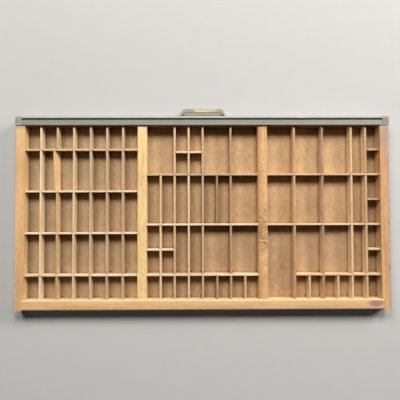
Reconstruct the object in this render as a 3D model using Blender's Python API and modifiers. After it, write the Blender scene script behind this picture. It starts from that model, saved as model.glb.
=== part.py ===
"""Printer's type case: a shallow wooden drawer with a formed steel front, three sections
and 89 compartments made by thin slats that are half-lapped where they cross.

Frame of the model, in metres: +Z up, origin in the middle of the underside.  The steel
front with its pull faces -Y, the rear rail is at +Y, and right means +X, the right hand of
somebody who stands in front of the pull.
"""
import math
from collections import defaultdict, namedtuple

import bpy
import bmesh
from mathutils import Vector

for ob in list(bpy.data.objects):
    bpy.data.objects.remove(ob, do_unlink=True)

# ------------------------------------------------------------------ driving dimensions
CASE_W = 0.8190          # over the side rails
FRONT_Y = -0.21165       # outer face of the steel front
REAR_Y = 0.21165         # rear ends of the side rails
RAIL_W = 0.0203          # thickness of the side rails
BAR_W = 0.0201           # thickness of the two main bars
FRONT_IN_Y = -0.19155    # inner face of the front rail
REAR_IN_Y = 0.18815      # inner face of the rear rail
REAR_OUT_Y = 0.21015     # outer face of the rear rail
WOOD_FRONT_Y = -0.21015  # outer face of the wooden front rail

PANEL_T = 0.0040         # bottom panel
GAP = 0.0003             # clearance between neighbouring pieces
WOOD_Z = PANEL_T + GAP   # underside of everything that stands on the panel
RAIL_TOP = 0.0340        # top of the outer frame
BAR_TOP = 0.0312         # top of the main bars
SLAT_TOP = 0.0292        # top of all slats
SLAT_T = 0.0044          # slat thickness
HOUSING = 0.0025         # how far a slat end is let into a rail or a bar
BAR_HOUSING = 0.0040     # how far a bar end is let into the front and rear rails
REAR_RABBET = 0.0042     # how far the rear rail is let into the side rails
ARRIS = 0.0022           # rounded outer top edge of the frame
OVERCUT = 0.0040         # how far a cutter reaches past the surface it opens
UNDERCUT_Z = -0.0010     # lower end of the cuts that run through a side rail

SHEET = 0.0012           # steel sheet
FLANGE_TOP = 0.0355      # flat flange on top of the front rail
GROOVE_FLOOR = 0.0325    # floor of the groove between lip and flange
LIP_W = 0.0048           # raised lip along the front edge
GROOVE_W = 0.0043
CAP_W = 0.0147           # width of a corner cap
SKIRT_Z = 0.0010         # lower edge of the steel

HALF_W = CASE_W / 2
HALF_SLAT = SLAT_T / 2
SLAT_CLEAR = HALF_SLAT + GAP               # from a slat's middle to its neighbour
LET_IN = HOUSING - GAP                     # part of a slat end inside its housing
LAP_Z = (WOOD_Z + SLAT_TOP) / 2            # where the two halves of a lap meet
FLANGE_END_Y = FRONT_IN_Y - 0.0004         # rear edge of the steel flange
CAP_SEAT_Y = FRONT_IN_Y + 0.0008           # rear end of the room cut for the steel
GROOVE_UNDER = GROOVE_FLOOR - SHEET - GAP  # top of the wood below the groove

N_UNITS = 7              # depth of the case in units of the smallest compartment
UNIT = (REAR_IN_Y - FRONT_IN_Y + SLAT_T) / N_UNITS
SECTION_W = (CASE_W - 2 * RAIL_W - 2 * BAR_W) / 3
BAR_SET = 0.0020         # the left bar stands a little nearer to the middle
RIGHT_X_HI = HALF_W - RAIL_W
RIGHT_X_LO = RIGHT_X_HI - SECTION_W
CENTRE_X_HI = RIGHT_X_LO - BAR_W
CENTRE_X_LO = CENTRE_X_HI - SECTION_W + BAR_SET
LEFT_X_HI = CENTRE_X_LO - BAR_W
LEFT_X_LO = -RIGHT_X_HI

SIDES = (("right", +1), ("left", -1))

ALONG_X = (math.pi / 2, 0.0, math.pi / 2)   # an outline drawn in Y and Z, thickness along X
ALONG_Y = (math.pi / 2, 0.0, 0.0)           # an outline drawn in X and Z, thickness along Y
ALONG_Z = (0.0, 0.0, 0.0)                   # an outline drawn in X and Y, thickness along Z

case = bpy.data.collections.new("type_case")
cutters = bpy.data.collections.new("type_case_cutters")
for collection in (case, cutters):
    bpy.context.scene.collection.children.link(collection)

# ------------------------------------------------------------------ materials
WOOD_RED, WOOD_GREEN, WOOD_BLUE = 0.56, 0.36, 0.17    # oiled hardwood at shade 1
WARM_BLUE_LOSS = 0.4                                  # blue taken away per unit of warmth


def finish(name, colour, roughness, metallic=0.0):
    mat = bpy.data.materials.new(name)
    mat.use_nodes = True
    bsdf = mat.node_tree.nodes["Principled BSDF"]
    bsdf.inputs["Base Color"].default_value = (*colour, 1.0)
    bsdf.inputs["Roughness"].default_value = roughness
    bsdf.inputs["Metallic"].default_value = metallic
    mat.diffuse_color = (*colour, 1.0)
    return mat


def wood(name, shade, warm=0.0):
    """Worn, oiled hardwood, lighter or darker and more or less orange."""
    colour = (WOOD_RED * shade + warm, WOOD_GREEN * shade, WOOD_BLUE * shade - warm * WARM_BLUE_LOSS)
    return finish(name, colour, roughness=0.55)


# ------------------------------------------------------------------ shape helpers
def place(name, mesh, mat, location=(0, 0, 0), rotation=(0, 0, 0), parent=None):
    ob = bpy.data.objects.new(name, mesh)
    case.objects.link(ob)
    ob.location = location
    ob.rotation_euler = rotation
    ob.parent = parent
    mesh.materials.append(mat)
    return ob


def place_empty(name, location, rotation=(0, 0, 0)):
    ob = bpy.data.objects.new(name, None)
    case.objects.link(ob)
    ob.location = location
    ob.rotation_euler = rotation
    return ob


def cutter(name, mesh, location=(0, 0, 0), rotation=(0, 0, 0)):
    ob = bpy.data.objects.new(name, mesh)
    cutters.objects.link(ob)
    ob.location = location
    ob.rotation_euler = rotation
    ob.display_type = "WIRE"
    ob.hide_render = True
    return ob


def combine(ob, tool, operation="DIFFERENCE"):
    mod = ob.modifiers.new(operation.lower() + "_" + tool.name, "BOOLEAN")
    mod.operation = operation
    mod.solver = "EXACT"
    mod.object = tool


def sheet_from_outline(points, thickness):
    """A closed outline, filled and given thickness: a mesh centred on its own plane."""
    curve = bpy.data.curves.new("outline", "CURVE")
    curve.dimensions = "2D"
    curve.fill_mode = "BOTH"
    curve.extrude = thickness / 2
    spline = curve.splines.new("POLY")
    spline.points.add(len(points) - 1)
    for point, (across, up) in zip(spline.points, points):
        point.co = (across, up, 0.0, 1.0)
    spline.use_cyclic_u = True
    ob = bpy.data.objects.new("outline", curve)
    bpy.context.scene.collection.objects.link(ob)
    depsgraph = bpy.context.evaluated_depsgraph_get()
    depsgraph.update()
    mesh = bpy.data.meshes.new_from_object(ob.evaluated_get(depsgraph))
    bpy.data.objects.remove(ob, do_unlink=True)
    bpy.data.curves.remove(curve)
    bm = bmesh.new()
    bm.from_mesh(mesh)
    bmesh.ops.remove_doubles(bm, verts=bm.verts, dist=1e-6)
    bmesh.ops.recalc_face_normals(bm, faces=bm.faces)
    bm.to_mesh(mesh)
    bm.free()
    return mesh


def mesh_from_bmesh(name, bm):
    mesh = bpy.data.meshes.new(name)
    bm.to_mesh(mesh)
    bm.free()
    return mesh


def box_mesh(name, boxes):
    """One mesh of upright boxes, each given by its lowest and highest corner."""
    bm = bmesh.new()
    for lo, hi in boxes:
        size = Vector(hi) - Vector(lo)
        middle = (Vector(hi) + Vector(lo)) / 2
        for v in bmesh.ops.create_cube(bm, size=1.0)["verts"]:
            v.co = v.co * size + middle if False else Vector(
                (v.co.x * size.x, v.co.y * size.y, v.co.z * size.z)) + middle
    return mesh_from_bmesh(name, bm)


def cut_boxes(ob, boxes, suffix="_cuts"):
    name = ob.name + suffix
    combine(ob, cutter(name, box_mesh(name, boxes)))


def rectangle(lo, hi):
    """Corners 0 to 3: low left, low right, high right, high left."""
    return [(lo[0], lo[1]), (hi[0], lo[1]), (hi[0], hi[1]), (lo[0], hi[1])]


def rounded(points, corners, radius, steps=4):
    """The outline with the listed corners rounded."""
    out = []
    for i, point in enumerate(points):
        if i not in corners:
            out.append(point)
            continue
        corner = Vector(point)
        to_last = (Vector(points[i - 1]) - corner).normalized()
        to_next = (Vector(points[(i + 1) % len(points)]) - corner).normalized()
        half = to_last.angle(to_next) / 2
        reach = radius / math.tan(half)
        centre = corner + (to_last + to_next).normalized() * (radius / math.sin(half))
        start = corner + to_last * reach - centre
        end = corner + to_next * reach - centre
        sweep = start.angle_signed(end)
        for k in range(steps + 1):
            angle = -sweep * k / steps
            c, s = math.cos(angle), math.sin(angle)
            out.append((centre.x + start.x * c - start.y * s, centre.y + start.x * s + start.y * c))
    return out


# ------------------------------------------------------------------ housings
housings = defaultdict(list)     # name of a rail or bar -> boxes to cut out of it


def depth_span(face, inward, depth):
    """From clear of a face to a depth below it; inward is the sign of the way into the wood."""
    return sorted((face - inward * OVERCUT, face + inward * depth))


def slat_span(middle):
    return (middle - SLAT_CLEAR, middle + SLAT_CLEAR)


def add_housing(piece, x_span, y_span, top):
    housings[piece].append(((x_span[0], y_span[0], 0.0), (x_span[1], y_span[1], top + GAP)))


# ------------------------------------------------------------------ layout of the slats
# x_hi, x_lo: walls of the section.  The columns are counted from grid_hi towards -X.
# offsets: the dividers were set by hand, this far from an even spacing, towards -X.
# piece_hi, piece_lo: what stands at the +X and -X wall.
Section = namedtuple("Section", "name x_hi x_lo grid_hi columns offsets piece_hi piece_lo")
RIGHT = Section("right", RIGHT_X_HI, RIGHT_X_LO, RIGHT_X_HI, 7,
                {1: 0.0006, 2: 0.0008, 3: 0.0010, 4: 0.0019, 5: 0.0020, 6: 0.0010},
                "side_rail_right", "main_bar_right")
CENTRE = Section("centre", CENTRE_X_HI, CENTRE_X_LO, CENTRE_X_HI, 8,
                 {1: 0.0010, 2: 0.0004, 3: 0.0, 4: -0.0004, 5: -0.0005, 6: -0.0016, 7: -0.0020},
                 "main_bar_right", "main_bar_left")
LEFT = Section("left", LEFT_X_HI, LEFT_X_LO, LEFT_X_HI - BAR_SET, 8,
               {2: -0.0024, 3: -0.0022, 4: -0.0024, 5: -0.0019, 6: -0.0016, 7: -0.0009},
               "main_bar_left", "side_rail_left")

RIGHT_LINES = (1, 1 + 5 / 3, 1 + 10 / 3, 6)   # cross slats of the right section, in units
EVEN_LINES = (2, 4, 6)                        # main cross slats of the other two sections
SHORT_UNIT = 1.10        # two small compartments at the front are a little deeper than one unit

# section, label, material, unit, dividers butted at the +X and -X end (None: let into the
# wall), dividers crossed, shade
CROSS_SLATS = [
    (RIGHT, "cross_slat_1", "cross_r1", RIGHT_LINES[0], None, None, (1, 3, 4, 5, 6), 1.05),
    (RIGHT, "cross_slat_2", "cross_r2", RIGHT_LINES[1], None, None, (1, 3, 4, 5, 6), 1.02),
    (RIGHT, "cross_slat_3", "cross_r3", RIGHT_LINES[2], None, None, (1, 2, 3, 4, 5, 6), 0.99),
    (RIGHT, "cross_slat_4", "cross_r4", RIGHT_LINES[3], None, None, (1, 2, 3, 4, 5, 6), 0.96),
    (CENTRE, "cross_slat_1", "cross_c1", 2, None, None, (2, 3, 4, 6), 1.00),
    (CENTRE, "cross_slat_2", "cross_c2", 4, None, None, (1, 2, 3, 4, 6), 0.98),
    (CENTRE, "cross_slat_3", "cross_c3", 6, None, None, (1, 2, 3, 4, 6), 0.96),
    (CENTRE, "short_slat_front", "short_c1", SHORT_UNIT, 2, 4, (3,), 1.08),
    (CENTRE, "short_slat_rear", "short_c2", 5, None, 2, (1,), 1.05),
    (LEFT, "cross_slat_1", "cross_l1", 2, None, None, (2, 4, 6, 7), 1.00),
    (LEFT, "cross_slat_2", "cross_l2", 4, None, None, (2, 4, 6, 7), 1.00),
    (LEFT, "cross_slat_3", "cross_l3", 6, 2, None, (4, 6, 7), 1.03),
    (LEFT, "short_slat_1", "short_l1", 1, 7, None, (), 0.95),
    (LEFT, "short_slat_2", "short_l2", 3, 7, None, (), 0.99),
    (LEFT, "short_slat_3", "short_l3", 5, 7, None, (), 1.03),
]

# section, label, material, column, units of the cross slats butted at the front and rear end
# (None: let into the rail), units of the cross slats crossed, shade, warmth
DIVIDERS = [
    (RIGHT, "1", "r1", 1, None, None, RIGHT_LINES, 0.96, 0.01),
    (RIGHT, "3", "r3", 3, None, None, RIGHT_LINES, 0.92, 0.01),
    (RIGHT, "4", "r4", 4, None, None, RIGHT_LINES, 0.96, 0.0),
    (RIGHT, "5", "r5", 5, None, None, RIGHT_LINES, 1.00, 0.01),
    (RIGHT, "6", "r6", 6, None, None, RIGHT_LINES, 0.92, 0.0),
    (RIGHT, "2_front", "r2a", 2, None, RIGHT_LINES[0], (), 0.85, 0.0),
    (RIGHT, "2_rear", "r2b", 2, RIGHT_LINES[1], None, RIGHT_LINES[2:], 0.95, 0.02),
    (CENTRE, "1", "c1", 1, 2, None, (4, 5, 6), 0.98, 0.0),
    (CENTRE, "2", "c2", 2, None, None, EVEN_LINES, 0.98, 0.0),
    (CENTRE, "3", "c3", 3, None, None, (SHORT_UNIT, *EVEN_LINES), 0.90, 0.015),
    (CENTRE, "4", "c4", 4, None, None, EVEN_LINES, 0.94, 0.0),
    (CENTRE, "5_middle", "c5a", 5, 2, 4, (), 0.82, 0.0),
    (CENTRE, "5_rear", "c5b", 5, 6, None, (), 0.93, 0.0),
    (CENTRE, "6", "c6", 6, None, None, EVEN_LINES, 0.90, 0.0),
    (CENTRE, "7", "c7", 7, 6, None, (), 1.02, 0.0),
    (LEFT, "2", "l2", 2, None, None, (2, 4), 0.95, 0.0),
    (LEFT, "3_rear", "l3", 3, 6, None, (), 0.97, 0.0),
    (LEFT, "4", "l4", 4, None, None, EVEN_LINES, 0.62, 0.0),
    (LEFT, "5_rear", "l5", 5, 6, None, (), 0.97, 0.0),
    (LEFT, "6", "l6", 6, None, None, EVEN_LINES, 0.95, 0.0),
    (LEFT, "7", "l7", 7, None, None, EVEN_LINES, 0.95, 0.0),
]


def line_y(unit):
    """Middle of the cross slat that closes this many units, counted from the front."""
    return FRONT_IN_Y + unit * UNIT - HALF_SLAT


def divider_x(section, k):
    """Middle of the divider after column k."""
    cell = (SECTION_W - (section.columns - 1) * SLAT_T) / section.columns
    return section.grid_hi - k * cell - (k - 0.5) * SLAT_T - section.offsets[k]


def comb(lo, hi, crossings, from_top):
    """Side view of a slat: a strip with a slot at each crossing, open at the top or below."""
    slots = []
    for middle in sorted(crossings, reverse=from_top):
        near, far = slat_span(middle)
        if from_top:
            floor = LAP_Z - GAP / 2
            slots += [(far, SLAT_TOP), (far, floor), (near, floor), (near, SLAT_TOP)]
        else:
            roof = LAP_Z + GAP / 2
            slots += [(near, WOOD_Z), (near, roof), (far, roof), (far, WOOD_Z)]
    start, low_end, high_end, last = rectangle((lo, WOOD_Z), (hi, SLAT_TOP))
    if from_top:
        return [start, low_end, high_end, *slots, last]
    return [start, *slots, low_end, high_end, last]


def cross_slat(section, label, material, unit, butt_hi, butt_lo, crossed, shade):
    """A slat that runs along X.  Its laps are cut from below."""
    y = line_y(unit)
    if butt_hi is None:
        x_hi = section.x_hi + LET_IN
        add_housing(section.piece_hi, depth_span(section.x_hi, +1, HOUSING), slat_span(y), SLAT_TOP)
    else:
        x_hi = divider_x(section, butt_hi) - SLAT_CLEAR
    if butt_lo is None:
        x_lo = section.x_lo - LET_IN
        add_housing(section.piece_lo, depth_span(section.x_lo, -1, HOUSING), slat_span(y), SLAT_TOP)
    else:
        x_lo = divider_x(section, butt_lo) + SLAT_CLEAR
    laps = [divider_x(section, k) for k in crossed]
    place(section.name + "_" + label, sheet_from_outline(comb(x_lo, x_hi, laps, False), SLAT_T),
          wood("maple_" + material, shade=shade), (0, y, 0), ALONG_Y)


def divider(section, label, material, k, butt_front, butt_rear, crossed, shade, warm):
    """A slat that runs from front to back.  Its laps are cut from above."""
    x = divider_x(section, k)
    if butt_front is None:
        y_lo = FRONT_IN_Y - LET_IN
        add_housing("front_rail", slat_span(x), depth_span(FRONT_IN_Y, -1, HOUSING), SLAT_TOP)
    else:
        y_lo = line_y(butt_front) + SLAT_CLEAR
    if butt_rear is None:
        y_hi = REAR_IN_Y + LET_IN
        add_housing("rear_rail", slat_span(x), depth_span(REAR_IN_Y, +1, HOUSING), SLAT_TOP)
    else:
        y_hi = line_y(butt_rear) - SLAT_CLEAR
    laps = [line_y(unit) for unit in crossed]
    place(section.name + "_divider_" + label,
          sheet_from_outline(comb(y_lo, y_hi, laps, True), SLAT_T),
          wood("maple_div_" + material, shade=shade, warm=warm), (x, 0, 0), ALONG_X)


for row in CROSS_SLATS:
    cross_slat(*row)
for row in DIVIDERS:
    divider(*row)

# ------------------------------------------------------------------ loose divider
LOOSE_LEAN = math.radians(13.5)   # how far it leans towards +X
LOOSE_L = 0.0860


def loose_divider():
    """The divider that has come loose: it pivots on the lower +X edge of its foot."""
    y = (line_y(RIGHT_LINES[0]) + line_y(RIGHT_LINES[1])) / 2
    pivot = place_empty("loose_divider_pivot", (divider_x(RIGHT, 2) + HALF_SLAT, y, WOOD_Z),
                        (0.0, LOOSE_LEAN, 0.0))
    box = ((-SLAT_T, -LOOSE_L / 2, 0.0), (0.0, LOOSE_L / 2, SLAT_TOP - WOOD_Z))
    place("loose_divider", box_mesh("loose_divider", [box]),
          wood("maple_loose", shade=1.05, warm=0.02), parent=pivot)


loose_divider()

# ------------------------------------------------------------------ fasteners
PLATE_T = 0.0012                         # plate of the drawer pull
PLATE_W = 0.1240
PLATE_BACK_Y = FRONT_Y - GAP
PLATE_FRONT_Y = PLATE_BACK_Y - PLATE_T

SCREW_R, SCREW_HEAD_R, SCREW_L = 0.0014, 0.0030, 0.0105
NAIL_R, NAIL_HEAD_R, NAIL_L = 0.0011, 0.0021, 0.0250
POINT_L = 0.0025                         # tapered point of a screw or nail
SCREW_HOLE_END = -SCREW_L - 0.0008
NAIL_HOLE_END = -NAIL_L - 0.0006
NAIL_SEAT_END = -0.0014
NAIL_SINK = 0.0003                       # nail heads below the face of the side rail
NAIL_Y = (REAR_IN_Y + REAR_OUT_Y) / 2
NAIL_HEIGHTS = (("low", 0.0110), ("high", 0.0255))
PULL_SCREW_X, PULL_SCREW_Z = PLATE_W / 2 - 0.0072, 0.0205
FRONT_SCREW_X, FRONT_SCREW_Z = 0.3700, 0.0175
ROUND_PARTS = 12                         # sides of screws, nails and their holes

# radius and height, down the outer side from the head to the tip
SCREW_PROFILE = [(0.0, 0.0017), (0.0013, 0.00145), (0.0023, 0.0009), (SCREW_HEAD_R, 0.0),
                 (SCREW_R, 0.0), (SCREW_R, -SCREW_L + POINT_L), (0.0, -SCREW_L)]
NAIL_PROFILE = [(0.0, 0.0), (NAIL_HEAD_R, 0.0), (NAIL_HEAD_R, -0.0008), (NAIL_R, -0.0010),
                (NAIL_R, -NAIL_L + POINT_L), (0.0, -NAIL_L)]
HEAD_TO_FRONT = (math.pi / 2, 0.0, 0.0)  # local +Z, the head, turns to -Y

steel_dark = finish("blackened_steel", (0.10, 0.095, 0.085), roughness=0.45, metallic=0.9)
brass_dull = finish("dull_brass_screw", (0.42, 0.31, 0.14), roughness=0.42, metallic=1.0)


def turned(name, profile, mat, location, rotation):
    mesh = bpy.data.meshes.new(name)
    edges = [(i, i + 1) for i in range(len(profile) - 1)]
    mesh.from_pydata([(radius, 0.0, z) for radius, z in profile], edges, [])
    turn = place(name, mesh, mat, location, rotation).modifiers.new("turn", "SCREW")
    turn.steps = turn.render_steps = ROUND_PARTS
    turn.use_merge_vertices = True
    turn.merge_threshold = 1e-5


def hole_cutter(name, radius, end, location, rotation):
    """A round hole along the cutter's own Z, from clear of the head down to end."""
    bm = bmesh.new()
    made = bmesh.ops.create_cone(bm, cap_ends=True, segments=ROUND_PARTS, radius1=radius,
                                 radius2=radius, depth=OVERCUT - end)
    for v in made["verts"]:
        v.co.z += (OVERCUT + end) / 2
    return cutter(name, mesh_from_bmesh(name, bm), location, rotation)


def screw_pair(kind, x, y, z, mat):
    """A screw on each side of the front; returns the cutters of their holes."""
    holes = []
    for side, sign in SIDES:
        name = kind + "_screw_" + side
        at = (sign * x, y, z)
        turned(name, SCREW_PROFILE, mat, at, HEAD_TO_FRONT)
        holes.append(hole_cutter(name + "_hole", SCREW_R + GAP, SCREW_HOLE_END, at, HEAD_TO_FRONT))
    return holes


def corner_nails(side, sign):
    """Two nails through a side rail into the rear rail; returns the cutters for them."""
    holes = []
    head_outwards = (0.0, sign * math.pi / 2, 0.0)
    for where, z in NAIL_HEIGHTS:
        name = "corner_nail_%s_%s" % (side, where)
        at = (sign * (HALF_W - NAIL_SINK), NAIL_Y, z)
        turned(name, NAIL_PROFILE, steel_dark, at, head_outwards)
        for part, radius, end in (("_hole", NAIL_R, NAIL_HOLE_END),
                                  ("_seat", NAIL_HEAD_R, NAIL_SEAT_END)):
            holes.append(hole_cutter(name + part, radius + GAP, end, at, head_outwards))
    return holes


pull_screw_holes = screw_pair("pull", PULL_SCREW_X, PLATE_FRONT_Y - GAP, PULL_SCREW_Z, brass_dull)
front_screw_holes = screw_pair("front", FRONT_SCREW_X, FRONT_Y - GAP, FRONT_SCREW_Z, steel_dark)
screw_holes = pull_screw_holes + front_screw_holes
nail_holes = {side: corner_nails(side, sign) for side, sign in SIDES}


# ------------------------------------------------------------------ wooden frame
def bottom_panel():
    """Board under the frame; its front corners clear the steel caps."""
    side_x = HALF_W - 0.0004
    rear_y = REAR_Y - 0.0006
    notch_x = HALF_W - SHEET - GAP
    outline = [(-notch_x, WOOD_FRONT_Y), (notch_x, WOOD_FRONT_Y), (notch_x, CAP_SEAT_Y),
               (side_x, CAP_SEAT_Y), (side_x, rear_y), (-side_x, rear_y),
               (-side_x, CAP_SEAT_Y), (-notch_x, CAP_SEAT_Y)]
    place("bottom_panel", sheet_from_outline(outline, PANEL_T),
          finish("brown_board", (0.42, 0.28, 0.14), roughness=0.8), (0, 0, PANEL_T / 2), ALONG_Z)


def side_rail(side, sign, mat):
    """A plank with a rounded outer top edge, then housings cut into it."""
    inner = HALF_W - RAIL_W
    outline = rounded(rectangle((inner, WOOD_Z), (HALF_W, RAIL_TOP)), {2}, ARRIS)
    if sign < 0:
        outline = [(-x, z) for x, z in reversed(outline)]
    rail = place("side_rail_" + side, sheet_from_outline(outline, REAR_Y - WOOD_FRONT_Y), mat,
                 (0, (REAR_Y + WOOD_FRONT_Y) / 2, 0), ALONG_Y)
    boxes = list(housings[rail.name])
    # distances from the middle, Y range and lower end of the cuts that are open at the top
    for near, far, y_lo, y_hi, z_lo in (
            # rabbet for the rear rail
            (inner - OVERCUT, inner + REAR_RABBET, REAR_IN_Y - GAP, REAR_Y + OVERCUT, UNDERCUT_Z),
            # room under the steel front
            (inner - OVERCUT, HALF_W - CAP_W - GAP, WOOD_FRONT_Y - OVERCUT, CAP_SEAT_Y,
             GROOVE_UNDER),
            # seat of the cap's side flange
            (HALF_W - SHEET - GAP, HALF_W + OVERCUT, WOOD_FRONT_Y - OVERCUT, CAP_SEAT_Y,
             UNDERCUT_Z)):
        x_lo, x_hi = sorted((sign * near, sign * far))
        boxes.append(((x_lo, y_lo, z_lo), (x_hi, y_hi, RAIL_TOP + OVERCUT)))
    cut_boxes(rail, boxes)
    for hole in nail_holes[side]:
        combine(rail, hole)


def main_bar(side, x_hi, mat):
    """A bar between two sections, let into the front and rear rails."""
    x_lo = x_hi - BAR_W
    y_lo = FRONT_IN_Y - BAR_HOUSING + GAP
    y_hi = REAR_IN_Y + BAR_HOUSING - GAP
    outline = rectangle((x_lo, WOOD_Z), (x_hi, BAR_TOP))
    bar = place("main_bar_" + side, sheet_from_outline(outline, y_hi - y_lo), mat,
                (0, (y_lo + y_hi) / 2, 0), ALONG_Y)
    cut_boxes(bar, housings[bar.name])
    for rail, face, inward in (("front_rail", FRONT_IN_Y, -1), ("rear_rail", REAR_IN_Y, +1)):
        add_housing(rail, (x_lo - GAP, x_hi + GAP), depth_span(face, inward, BAR_HOUSING), BAR_TOP)


def front_rail():
    """Stepped along its front edge to clear the groove in the steel."""
    step_y = FRONT_Y + LIP_W + GROOVE_W + SHEET + GAP
    outline = [(WOOD_FRONT_Y, WOOD_Z), (FRONT_IN_Y, WOOD_Z), (FRONT_IN_Y, RAIL_TOP),
               (step_y, RAIL_TOP), (step_y, GROOVE_UNDER), (WOOD_FRONT_Y, GROOVE_UNDER)]
    rail = place("front_rail", sheet_from_outline(outline, 2 * (HALF_W - RAIL_W - GAP)),
                 wood("front_maple", shade=0.7, warm=0.02), rotation=ALONG_X)
    cut_boxes(rail, housings[rail.name])
    for hole in screw_holes:
        combine(rail, hole)


def rear_rail():
    outline = rounded(rectangle((REAR_IN_Y, WOOD_Z), (REAR_OUT_Y, RAIL_TOP)), {2}, ARRIS)
    length = 2 * (HALF_W - RAIL_W + REAR_RABBET - GAP)
    rail = place("rear_rail", sheet_from_outline(outline, length),
                 wood("rear_maple", shade=1.02, warm=0.02), rotation=ALONG_X)
    cut_boxes(rail, housings[rail.name])
    for hole in nail_holes["right"] + nail_holes["left"]:
        combine(rail, hole)


bottom_panel()
side_rail("right", +1, wood("frame_maple_right.001", shade=0.97, warm=0.03))
side_rail("left", -1, wood("frame_maple_left", shade=0.98, warm=0.06))
main_bar("right", RIGHT_X_LO, wood("bar_maple_right", shade=1.12))
main_bar("left", CENTRE_X_LO, wood("bar_maple_left", shade=0.9, warm=0.05))
front_rail()
rear_rail()

# ------------------------------------------------------------------ steel front
LIP_TOP = 0.0364
LIP_CHAMFER = 0.0010
FLANGE_CHAMFER = 0.0005
CAP_X = HALF_W - CAP_W            # inner end of a corner cap
CAP_OUT_X = HALF_W + 0.0001       # outer face of a corner cap


def steel_front():
    """One folded sheet: skirt, raised lip, groove and flange, between the corner caps."""
    lip_in = FRONT_Y + LIP_W
    groove_in = lip_in + GROOVE_W
    outline = [      # Y, Z: up the outer side, over the top, then back along the underside
        (FRONT_Y, SKIRT_Z), (FRONT_Y, LIP_TOP - LIP_CHAMFER), (FRONT_Y + LIP_CHAMFER, LIP_TOP),
        (lip_in - LIP_CHAMFER, LIP_TOP), (lip_in, LIP_TOP - LIP_CHAMFER),
        (lip_in, GROOVE_FLOOR), (groove_in, GROOVE_FLOOR),
        (groove_in, FLANGE_TOP - FLANGE_CHAMFER), (groove_in + FLANGE_CHAMFER, FLANGE_TOP),
        (FLANGE_END_Y, FLANGE_TOP), (FLANGE_END_Y, FLANGE_TOP - SHEET),
        (groove_in + SHEET, FLANGE_TOP - SHEET), (groove_in + SHEET, GROOVE_FLOOR - SHEET),
        (lip_in - SHEET, GROOVE_FLOOR - SHEET), (lip_in - SHEET, LIP_TOP - SHEET),
        (FRONT_Y + SHEET, LIP_TOP - SHEET), (FRONT_Y + SHEET, SKIRT_Z)]
    steel = place("steel_front", sheet_from_outline(outline, 2 * CAP_X - 2 * GAP),
                  finish("grey_green_paint", (0.27, 0.29, 0.25), roughness=0.42, metallic=0.35),
                  rotation=ALONG_X)
    for hole in screw_holes:
        combine(steel, hole)


def corner_cap(side, sign, material):
    """A pressed cap: top, front and outer side in one piece, open towards the inside."""
    x_lo, x_hi = sorted((sign * CAP_X, sign * CAP_OUT_X))
    lo, hi = (x_lo, FRONT_Y, SKIRT_Z), (x_hi, FLANGE_END_Y, FLANGE_TOP)
    cap = place("corner_cap_" + side, box_mesh("corner_cap_" + side, [(lo, hi)]),
                finish(material, (0.36, 0.37, 0.32), roughness=0.45, metallic=0.35))
    bevel = cap.modifiers.new("pressed_edges", "BEVEL")
    bevel.width = 0.0011
    bevel.segments = 3
    bevel.limit_method = "WEIGHT"

    # only the edges where two of the top, front and outer faces meet are bevelled
    mesh = cap.data
    middle = (Vector(lo) + Vector(hi)) / 2
    weights = mesh.attributes.new("bevel_weight_edge", "FLOAT", "EDGE")
    for edge in mesh.edges:
        ends = [mesh.vertices[i].co for i in edge.vertices]
        on_top = all(end.z > middle.z for end in ends)
        on_front = all(end.y < middle.y for end in ends)
        on_outer = all(abs(end.x) > abs(middle.x) for end in ends)
        if on_top + on_front + on_outer >= 2:
            weights.data[edge.index].value = 1.0

    x_lo, x_hi = sorted((sign * (CAP_X - OVERCUT), sign * (CAP_OUT_X - SHEET)))
    cut_boxes(cap, [((x_lo, FRONT_Y + SHEET, SKIRT_Z - OVERCUT),
                     (x_hi, FLANGE_END_Y + OVERCUT, FLANGE_TOP - SHEET))], "_inside")


steel_front()
corner_cap("right", +1, "worn_cap_paint_right")
corner_cap("left", -1, "worn_cap_paint__left")

# ------------------------------------------------------------------ pull with label frame
PULL_HALF = 0.0972 / 2
PULL_OUT = 0.0218        # how far the finger lip stands out
PULL_R = 0.0118          # plan radius of its outer corners
PLATE_LOW, PLATE_TOP = 0.0120, 0.0290    # wide plate that takes the screws
PLATE_R = 0.0050
FRAME_LOW, FRAME_TOP = 0.0035, 0.0330    # label frame and its backing
BACKING_R = 0.0012
CHANNEL = 0.0014         # depth of the channel for the card
CHANNEL_Y = PLATE_FRONT_Y - CHANNEL / 2  # middle of the channel
GUIDE_W, GUIDE_SILL = 0.0030, 0.0107     # side width and sill height of the card guide
GUIDE_OVERLAP = 0.0002   # how far the guide runs into plate and border
BORDER_W, BORDER_SILL = 0.0090, 0.0132   # the same of the border in front of the card
BORDER_T = 0.0012
BORDER_Y = PLATE_FRONT_Y - CHANNEL - BORDER_T / 2
LIP_LOW, LIP_RIM = 0.0035, 0.0125
POCKET_DEPTH = 0.0013
POCKET_SIDE = 0.0030     # wall left beside the pocket
POCKET_FRONT = 0.0080    # wall left in front of it
POCKET_BACK_Y = PLATE_FRONT_Y - CHANNEL - 0.0022
CARD_W, CARD_H, CARD_T = 0.0860, 0.0190, 0.0005
CARD_LIFT = 0.0005       # clearance between card and sill


def u_frame(width, sill):
    """A frame that is open at the top, seen from the front."""
    inner = PULL_HALF - width
    return [(-PULL_HALF, FRAME_LOW), (PULL_HALF, FRAME_LOW), (PULL_HALF, FRAME_TOP),
            (inner, FRAME_TOP), (inner, sill), (-inner, sill), (-inner, FRAME_TOP),
            (-PULL_HALF, FRAME_TOP)]


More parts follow.
